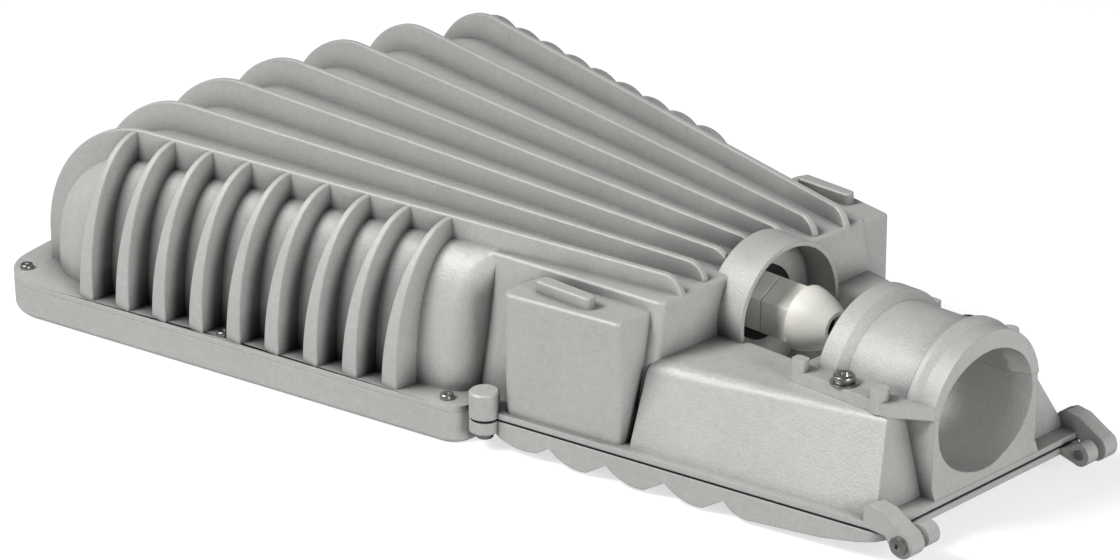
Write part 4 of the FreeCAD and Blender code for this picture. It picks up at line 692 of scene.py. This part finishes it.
class RepeatTree(GeometryTree):
    """Puts a prototype on every point of a mesh."""

    def __init__(self) -> None:
        """Builds the tree."""
        super().__init__("repeat_on_points", Geometry="Geometry", Prototype="Object", Turn="Vector",
                         Spin_Range="Float", Seed="Int", Finish="Material")
        info = self.add("GeometryNodeObjectInfo")
        spin = self.add("FunctionNodeRandomValue")
        axis = self.add("ShaderNodeCombineXYZ")
        turn = self.add("FunctionNodeEulerToRotation")
        twist = self.add("FunctionNodeEulerToRotation")
        both = self.add("FunctionNodeRotateRotation")
        both.rotation_space = "LOCAL"
        place = self.add("GeometryNodeInstanceOnPoints")
        real = self.add("GeometryNodeRealizeInstances")
        lowest, highest = [socket for socket in spin.inputs if socket.type == "VALUE"][:2]
        lowest.default_value = 0.0
        self.link(self.start["Spin Range"], highest)
        self.link(self.start["Seed"], spin.inputs["Seed"])
        self.link(next(socket for socket in spin.outputs if socket.type == "VALUE"), axis.inputs["Z"])
        self.link(self.start["Turn"], turn.inputs[0])
        self.link(axis.outputs[0], twist.inputs[0])
        self.link(turn.outputs[0], both.inputs["Rotation"])
        self.link(twist.outputs[0], both.inputs["Rotate By"])
        self.link(self.start["Prototype"], info.inputs["Object"])
        self.link(self.start["Geometry"], place.inputs["Points"])
        self.link(info.outputs["Geometry"], place.inputs["Instance"])
        self.link(both.outputs[0], place.inputs["Rotation"])
        self.link(place.outputs["Instances"], real.inputs["Geometry"])
        self.close(real.outputs["Geometry"])

    def make(self, name: str, prototype: bpy.types.Object, points: list[Vector], axis: Axis,
             material: bpy.types.Material, spin: float = 0.0, seed: int = 1) -> bpy.types.Object:
        """Makes one plain mesh piece from a prototype at many points.

        Args:
            name: the new piece's name.
            prototype: the object that is repeated, which is deleted.
            points: where it goes, in metres.
            axis: the direction that its +Z takes.
            material: the piece's material.
            spin: the largest random turn about that direction, in radians.
            seed: the seed of the random turns.

        Returns:
            The piece.
        """
        mesh = bpy.data.meshes.new(name + "_points")
        mesh.from_pydata([tuple(point) for point in points], [], [])
        piece = self.run(name, mesh, Prototype=prototype, Turn=tuple(axis.value.to_euler()),
                         Spin_Range=spin, Seed=seed, Finish=material)
        bpy.data.objects.remove(prototype, do_unlink=True)
        return piece


class ThreadTree(GeometryTree):
    """Winds a thread's ridge along +Z."""

    RIDGE_SHARE = 0.36
    POINTS_A_TURN = 28
    RIDGE_SIDES = 4

    def __init__(self) -> None:
        """Builds the tree."""
        super().__init__("screw_thread", Radius="Float", Length="Float", Turns="Float", Ridge="Float",
                         Finish="Material")
        spiral = self.add("GeometryNodeCurveSpiral")
        spiral.inputs["Resolution"].default_value = self.POINTS_A_TURN
        section = self.add("GeometryNodeCurvePrimitiveCircle")
        section.inputs["Resolution"].default_value = self.RIDGE_SIDES
        sweep = self.add("GeometryNodeCurveToMesh")
        sweep.inputs["Fill Caps"].default_value = True
        self.link(self.start["Radius"], spiral.inputs["Start Radius"])
        self.link(self.start["Radius"], spiral.inputs["End Radius"])
        self.link(self.start["Length"], spiral.inputs["Height"])
        self.link(self.start["Turns"], spiral.inputs["Rotations"])
        self.link(self.start["Ridge"], section.inputs["Radius"])
        self.link(spiral.outputs["Curve"], sweep.inputs["Curve"])
        self.link(section.outputs["Curve"], sweep.inputs["Profile Curve"])
        self.close(sweep.outputs["Mesh"])

    def make(self, name: str, radius: float, length: float, pitch: float,
             material: bpy.types.Material) -> bpy.types.Object:
        """Makes one thread that starts at the origin.

        Args:
            name: the piece's name.
            radius: the shank's radius.
            length: the thread's length.
            pitch: the rise of one turn.
            material: the piece's material.

        Returns:
            The thread.
        """
        return self.run(name, bpy.data.meshes.new(name + "_start"), Radius=radius, Length=length,
                        Turns=length / pitch, Ridge=pitch * self.RIDGE_SHARE, Finish=material)


class Drive(Enum):
    """A screw head's form: its crown's share of its radius, and its side's share of its height."""

    PAN = (0.86, 0.45)
    SOCKET = (0.93, 0.9)


@dataclass(frozen=True)
class ScrewKind:
    """One size of screw, in metres, with its head at z 0 and above and its shank below."""

    name: str
    drive: Drive
    head_r: float
    head_height: float
    shank_r: float
    length: float
    key: float
    pitch: float = 0.0

    @classmethod
    def in_mm(cls, name: str, drive: Drive, *sizes: float) -> "ScrewKind":
        """Makes a kind from sizes in millimetres.

        Args:
            name: the kind's name.
            drive: its head.
            sizes: the sizes in the order of the fields.

        Returns:
            The kind.
        """
        return cls(name, drive, *(size * MM for size in sizes))

    def head(self) -> list[tuple[float, float, float]]:
        """The rings of the head with its hexagon socket, from the seat up and down into the socket.

        Returns:
            The radius and height of each ring, and 1 for a hexagon or 0 for a circle.
        """
        r, h, key = self.head_r, self.head_height, self.key / 2
        crown, side = self.drive.value
        return [(r * 0.97, 0.0, 0), (r, h * 0.06, 0), (r, h * side, 0),
                (r * (1 + crown) / 2, h * (1 + side) / 2, 0), (r * crown, h, 0),
                (key * 1.12, h, 1), (key, h * 0.93, 1), (key, h * 0.45, 1), (key * 0.2, h * 0.38, 0)]

    def prototype(self, material: bpy.types.Material, thread: ThreadTree) -> bpy.types.Object:
        """Builds one screw.

        Args:
            material: the screw's material.
            thread: the tree that winds the ridge of a screw with a pitch.

        Returns:
            The screw as an object at the origin.
        """
        core = self.shank_r - self.pitch * ThreadTree.RIDGE_SHARE
        shank = [(core * 0.7, -self.length, 0), (core, -self.length + core * 0.4, 0), (core, 0.0, 0)]
        work = bmesh.new()
        ring_stack(work, shank + self.head())
        if self.pitch:
            wound = self.length - 2 * self.pitch
            ridge = thread.make(self.name + "_ridge", core, wound, self.pitch, material)
            ridge.data.transform(Matrix.Translation((0.0, 0.0, -self.length + self.pitch)))
            work.from_mesh(ridge.data)
            bpy.data.objects.remove(ridge, do_unlink=True)
        return mesh_piece(self.name + "_prototype", work, material)


@dataclass(frozen=True)
class HousingForm:
    """The housing's copy brought nearer to the real casting.

    The nine side fins on each side get their fuller form, and the low step across the roof's valleys
    becomes a ramp. Sizes are in millimetres from the socket's mouth plane and the housing's split plane.
    """

    origin: tuple[float, float] = (12.0, -37.85)
    first_x: float = -484.5
    pitch: float = 25.47
    count: int = 9
    half_top: float = 1.6
    half_foot: float = 4.8
    half_foot_real: float = 5.7
    lean: float = -2.5
    outward: float = 2.5
    inset: float = 5.0
    foot_z: float = 1.6
    flange_z: float = 3.1
    arc_z: float = 8.0
    edge_share: float = 0.9
    clearance: tuple[float, float, float] = (0.1, 0.5, 1.0)
    flange: tuple[float, float] = (85.07, 0.184)
    crest_slope: float = math.tan(math.radians(3 * 3.907))
    crest_line: tuple[float, float, float] = (-503.0, 91.6, -0.024)
    apex_x: float = 152.0
    step: tuple[float, float] = (-248.0, 74.4)
    step_room: float = 0.05
    ramp: float = 6.0

    def crest(self, x: float) -> tuple[float, float]:
        """Where the fins end at the outer ridge.

        Args:
            x: the place along the lamp.

        Returns:
            The outer ridge's distance from the middle plane, and the top of a fin there.
        """
        start, height, fall = self.crest_line
        return self.crest_slope * (self.apex_x - x), height + fall * (x - start)

    def fin_corner(self, x: float, y: float, z: float) -> tuple[float, float]:
        """Where a corner of a fin goes.

        Args:
            x: its place along the lamp.
            y: its distance from the middle plane.
            z: its height.

        Returns:
            The new x and y, which stay as they are off the fins.
        """
        side, inner_room, top_room = self.clearance
        number = min(max(round((x - self.first_x) / self.pitch), 0), self.count - 1)
        middle = self.first_x + self.pitch * number
        inner, top = self.crest(middle)
        if abs(x - middle) > self.half_foot + side or z < self.flange_z or y < inner + inner_room:
            return x, y
        depth = min(max((top + top_room - z) / (top + top_room - self.foot_z), 0.0), 1.0)
        wide = self.half_top + (self.half_foot - self.half_top) * depth
        wide_real = self.half_top + (self.half_foot_real - self.half_top) * depth
        new_x = middle + self.lean * depth + (x - middle) * wide_real / wide
        reach = self.flange[0] - self.flange[1] * middle - self.inset - inner
        rise = max(z - self.arc_z, 0.0) / (top - self.arc_z)
        new_y = y - self.flange[1] * (new_x - x)
        if math.hypot((y - inner) / reach, rise) > self.edge_share:
            new_y += self.outward * max(1.0 - rise ** 2, 0.0)
        return new_x, new_y

    def move(self, x: float, y: float, z: float) -> tuple[float, float]:
        """Where a corner of the housing goes.

        Args:
            x: its place along the lamp.
            y: its distance from the middle plane.
            z: its height.

        Returns:
            The new x and y. A corner at the foot of the roof's step slides along the ridges.
        """
        if math.hypot(x - self.step[0], z - self.step[1]) < self.step_room:
            new_x = x + self.ramp
            return new_x, y * (self.apex_x - new_x) / (self.apex_x - x)
        return self.fin_corner(x, y, z)

    def reshape(self, work: bmesh.types.BMesh) -> None:
        """Moves the corners of a copy of the housing.

        Args:
            work: the copy's mesh work, in metres.
        """
        for vertex in work.verts:
            x, y, z = vertex.co / MM
            new_x, new_y = self.move(x - self.origin[0], abs(y), z - self.origin[1])
            vertex.co.x = (new_x + self.origin[0]) * MM
            vertex.co.y = math.copysign(new_y, y) * MM


@dataclass
class Castings:
    """The four castings: housing, lens frame, clamp saddle and door."""

    slot: str = "cast_aluminium"
    places: dict[str, str] = field(default_factory=lambda: {
        "housing": "housing", "lens_frame": "housing", "pole_clamp": "housing", "door": "door"})

    def build(self, finishes: Finishes) -> None:
        """Stands a smooth copy in place of each casting.

        Args:
            finishes: the lamp's finishes.
        """
        for node, body in self.places.items():
            reshape = HousingForm().reshape if node == "housing" else None
            cast_copy(node, finishes.cast, body, reshape)
            LOG.info("casting %s", node)


@dataclass
class Fasteners:
    """All screws and bolts, each group repeated from one prototype."""

    slot: str = "stainless_steel"
    spin: float = math.pi / 3
    thread: ThreadTree = field(default_factory=ThreadTree)

    def group(self, node: str, kind: ScrewKind, axis: Axis, body: str, finishes: Finishes,
              repeat: RepeatTree) -> None:
        """Replaces one CAD group of screws.

        Args:
            node: the CAD node.
            kind: the screw.
            axis: the direction from the shank to the head.
            body: the body it rides on.
            finishes: the lamp's finishes.
            repeat: the tree that repeats the prototype.
        """
        points = []
        for low, high in islands(node):
            seat = (low + high) / 2
            seat.z = high.z - kind.head_height if axis is Axis.UP else low.z + kind.head_height
            points.append(seat)
        piece = repeat.make(node + "_detailed", kind.prototype(finishes.steel, self.thread), points, axis,
                            finishes.steel, self.spin, len(points))
        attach(piece, body)
        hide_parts(node)
        LOG.info("fasteners %s: %d", node, len(points))

    def build(self, finishes: Finishes, repeat: RepeatTree) -> None:
        """Builds every group.

        Args:
            finishes: the lamp's finishes.
            repeat: the tree that repeats the prototypes.
        """
        pan, socket, mm = Drive.PAN, Drive.SOCKET, ScrewKind.in_mm
        for node, axis, body, kind in (
                ("frame_screws", Axis.UP, "housing", mm("m4_long", pan, 3.8, 2.6, 2.0, 12.0, 2.5)),
                ("clamp_bolts", Axis.UP, "housing", mm("m6", socket, 5.5, 3.6, 3.0, 28.5, 5.0, 1.0)),
                ("clip_screws", Axis.UP, "housing", mm("m3", pan, 2.8, 2.0, 1.5, 3.5, 2.0)),
                ("holder_screws", Axis.DOWN, "housing", mm("m3_long", pan, 2.8, 2.0, 1.5, 9.4, 2.0)),
                ("mask_screws", Axis.DOWN, "housing", mm("m3_mid", pan, 2.8, 2.0, 1.5, 5.0, 2.0)),
                ("driver_screws", Axis.DOWN, "housing", mm("m4", pan, 3.8, 2.6, 2.0, 4.4, 2.5)),
                ("earth_screw", Axis.DOWN, "housing", mm("m4_short", pan, 3.8, 2.6, 2.0, 2.4, 2.5)),
                ("door_screws", Axis.DOWN, "door", mm("m5", socket, 4.5, 4.0, 2.5, 16.6, 4.0, 0.8))):
            self.group(node, kind, axis, body, finishes, repeat)


@dataclass
class ChipFields:
    """The round yellow phosphor field on each light chip."""

    radius: float = 10.8 * MM
    thick: float = 0.35 * MM
    bevel_share: float = 0.6
    sides: int = 48

    def build(self, finishes: Finishes, repeat: RepeatTree) -> None:
        """Puts a field under each chip.

        Args:
            finishes: the lamp's finishes.
            repeat: the tree that repeats the prototype.
        """
        points = []
        for node in node_names("led_chip_"):
            low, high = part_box(node)
            points.append(Vector(((low[0] + high[0]) / 2, (low[1] + high[1]) / 2, low[2])))
        work = bmesh.new()
        rim = self.radius - self.thick * self.bevel_share
        rings = [(self.radius, 0.0, 0), (self.radius, self.thick / 2, 0), (rim, self.thick, 0)]
        ring_stack(work, rings, self.sides)
        prototype = mesh_piece("field_prototype", work, finishes.phosphor)
        piece = repeat.make("chip_fields", prototype, points, Axis.DOWN, finishes.phosphor)
        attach(piece, "housing")
        LOG.info("chip fields: %d", len(points))


@dataclass(frozen=True)
class SoftLight:
    """One square soft light that faces the lamp head, in metres and watts."""

    name: str
    place: tuple[float, float, float]
    size: float
    power: float

    def hang(self, aim: Vector) -> None:
        """Hangs the light.

        Args:
            aim: the point that it faces.
        """
        data = bpy.data.lights.new(self.name, "AREA")
        data.shape = "SQUARE"
        data.size = self.size
        data.energy = self.power
        light = bpy.data.objects.new(self.name, data)
        turn = (Vector(self.place) - aim).to_track_quat("Z", "Y").to_matrix().to_4x4()
        light.matrix_world = Matrix.Translation(self.place) @ turn
        bpy.context.scene.collection.objects.link(light)


@dataclass(frozen=True)
class Studio:
    """The pale floor, the soft lights and the camera of the photograph."""

    eye: tuple[float, float, float] = (0.99949, -1.25885, 0.74580)
    azimuth: float = 45.495
    elevation: float = 23.062
    roll: float = -0.488
    lens: float = 116.45
    sensor: float = 36.0
    clip: tuple[float, float] = (0.05, 60.0)
    floor_half: float = 6.0
    floor_gap: float = 0.0002
    floor_tone: float = 0.5
    floor_rough: float = 0.9
    floor_glow: float = 0.66
    surround: float = 0.15
    aim: tuple[float, float, float] = (-0.25, 0.0, 0.0)
    lights: tuple[SoftLight, ...] = (SoftLight("key_light", (-0.97, -1.44, 1.78), 0.9, 54.0),
                                     SoftLight("pole_side_light", (2.03, -0.36, 0.67), 0.8, 31.0))

    def camera(self) -> None:
        """Puts the camera where the photograph was taken from."""
        az, el, roll = (math.radians(a) for a in (self.azimuth, self.elevation, self.roll))
        forward = Vector((-math.sin(az) * math.cos(el), math.cos(az) * math.cos(el), -math.sin(el)))
        level = Vector((math.cos(az), math.sin(az), 0.0))
        above = level.cross(forward)
        right = level * math.cos(roll) + above * math.sin(roll)
        up = above * math.cos(roll) - level * math.sin(roll)
        data = bpy.data.cameras.new("photo_camera")
        data.lens = self.lens
        data.sensor_width = self.sensor
        data.sensor_fit = "HORIZONTAL"
        data.clip_start, data.clip_end = self.clip
        camera = bpy.data.objects.new("photo_camera", data)
        turn = Matrix((right, up, -forward)).transposed()
        camera.matrix_world = Matrix.Translation(self.eye) @ turn.to_4x4()
        bpy.context.scene.collection.objects.link(camera)
        bpy.context.scene.camera = camera

    def floor(self) -> None:
        """Lays the pale floor under the lamp head. It glows only where the camera sees it."""
        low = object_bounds()[0][2]
        work = bmesh.new()
        bmesh.ops.create_grid(work, x_segments=1, y_segments=1, size=self.floor_half)
        bmesh.ops.translate(work, verts=work.verts, vec=(0, 0, low - self.floor_gap))
        sheet = ShaderSheet("pale_floor")
        path = sheet.add("ShaderNodeLightPath")
        seen = sheet.add("ShaderNodeMath")
        seen.operation = "MAXIMUM"
        sheet.tree.links.new(path.outputs["Is Camera Ray"], seen.inputs[0])
        sheet.tree.links.new(path.outputs["Is Transmission Ray"], seen.inputs[1])
        glow = sheet.add("ShaderNodeEmission", Color=(1, 1, 1, 1), Strength=self.floor_glow)
        none = sheet.add("ShaderNodeEmission", Color=(0, 0, 0, 1), Strength=0.0)
        choose = sheet.add("ShaderNodeMixShader", Fac=seen.outputs[0])
        sheet.tree.links.new(none.outputs[0], choose.inputs[1])
        sheet.tree.links.new(glow.outputs[0], choose.inputs[2])
        total = sheet.add("ShaderNodeAddShader")
        sheet.finish(Base_Color=(*[self.floor_tone] * 3, 1), Roughness=self.floor_rough)
        sheet.tree.links.new(sheet.shader.outputs[0], total.inputs[0])
        sheet.tree.links.new(choose.outputs[0], total.inputs[1])
        output = next(node for node in sheet.tree.nodes if node.type == "OUTPUT_MATERIAL")
        sheet.tree.links.new(total.outputs[0], output.inputs["Surface"])
        mesh_piece("floor", work, sheet.material)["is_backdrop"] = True

    def world(self) -> None:
        """Makes a soft surround that is white where the camera sees it."""
        world = bpy.data.worlds.new("studio_world")
        bpy.context.scene.world = world
        world.use_nodes = True
        tree = world.node_tree
        back = tree.nodes["Background"]
        back.inputs["Color"].default_value = (1.0, 1.0, 1.0, 1.0)
        back.inputs["Strength"].default_value = self.surround
        white = tree.nodes.new("ShaderNodeBackground")
        white.inputs["Color"].default_value = (1.0, 1.0, 1.0, 1.0)
        path = tree.nodes.new("ShaderNodeLightPath")
        mix = tree.nodes.new("ShaderNodeMixShader")
        tree.links.new(path.outputs["Is Camera Ray"], mix.inputs["Fac"])
        tree.links.new(back.outputs[0], mix.inputs[1])
        tree.links.new(white.outputs[0], mix.inputs[2])
        output = next(node for node in tree.nodes if node.type == "OUTPUT_WORLD")
        tree.links.new(mix.outputs[0], output.inputs["Surface"])

    def build(self) -> None:
        """Builds the camera, the floor, the surround and the lights."""
        self.camera()
        self.floor()
        self.world()
        for light in self.lights:
            light.hang(Vector(self.aim))
        bpy.context.scene.view_settings.view_transform = "Standard"
        LOG.info("studio: %d lights", len(self.lights))


@dataclass
class PlainNodes:
    """The CAD nodes whose shape stays and that only take a finish."""

    def build(self, finishes: Finishes) -> None:
        """Gives each node its material.

        Args:
            finishes: the lamp's finishes.
        """
        dress(finishes.rubber, "frame_gasket", "glass_gasket", "door_gasket", "gland_washer",
              "wall_grommet", "gland_seal")
        dress(finishes.steel, "bay_screws", "clamp_washers", "hinge_pins", "glass_clips")
        dress(finishes.glass, "glass_pane")
        dress(finishes.bright, *node_names("reflector_"))
        dress(finishes.sheet, "reflector_mask")
        dress(finishes.ceramic, *node_names("led_chip_"))
        dress(finishes.white, *node_names("chip_holder_"), "gland_body", "gland_dome_nut", "gland_locknut")
        dress(finishes.black, "surge_protector", "cable_clip", "screw_retainers")
        dress(finishes.grey, "terminal_block")
        dress(finishes.case, "driver")
        dress(finishes.brass, "terminal_screws")
        dress(finishes.sheath, "led_leads", "output_lead", "supply_lead", "surge_lead")
        LOG.info("plain nodes dressed")


def main() -> None:
    """Builds the lamp head's sub-assemblies in order."""
    logging.basicConfig(level=logging.INFO, format="%(message)s")
    Studio().build()
    finishes = Finishes()
    repeat = RepeatTree()
    PlainNodes().build(finishes)
    Castings().build(finishes)
    Fasteners().build(finishes, repeat)
    ChipFields().build(finishes, repeat)


if __name__ == "__main__":
    main()
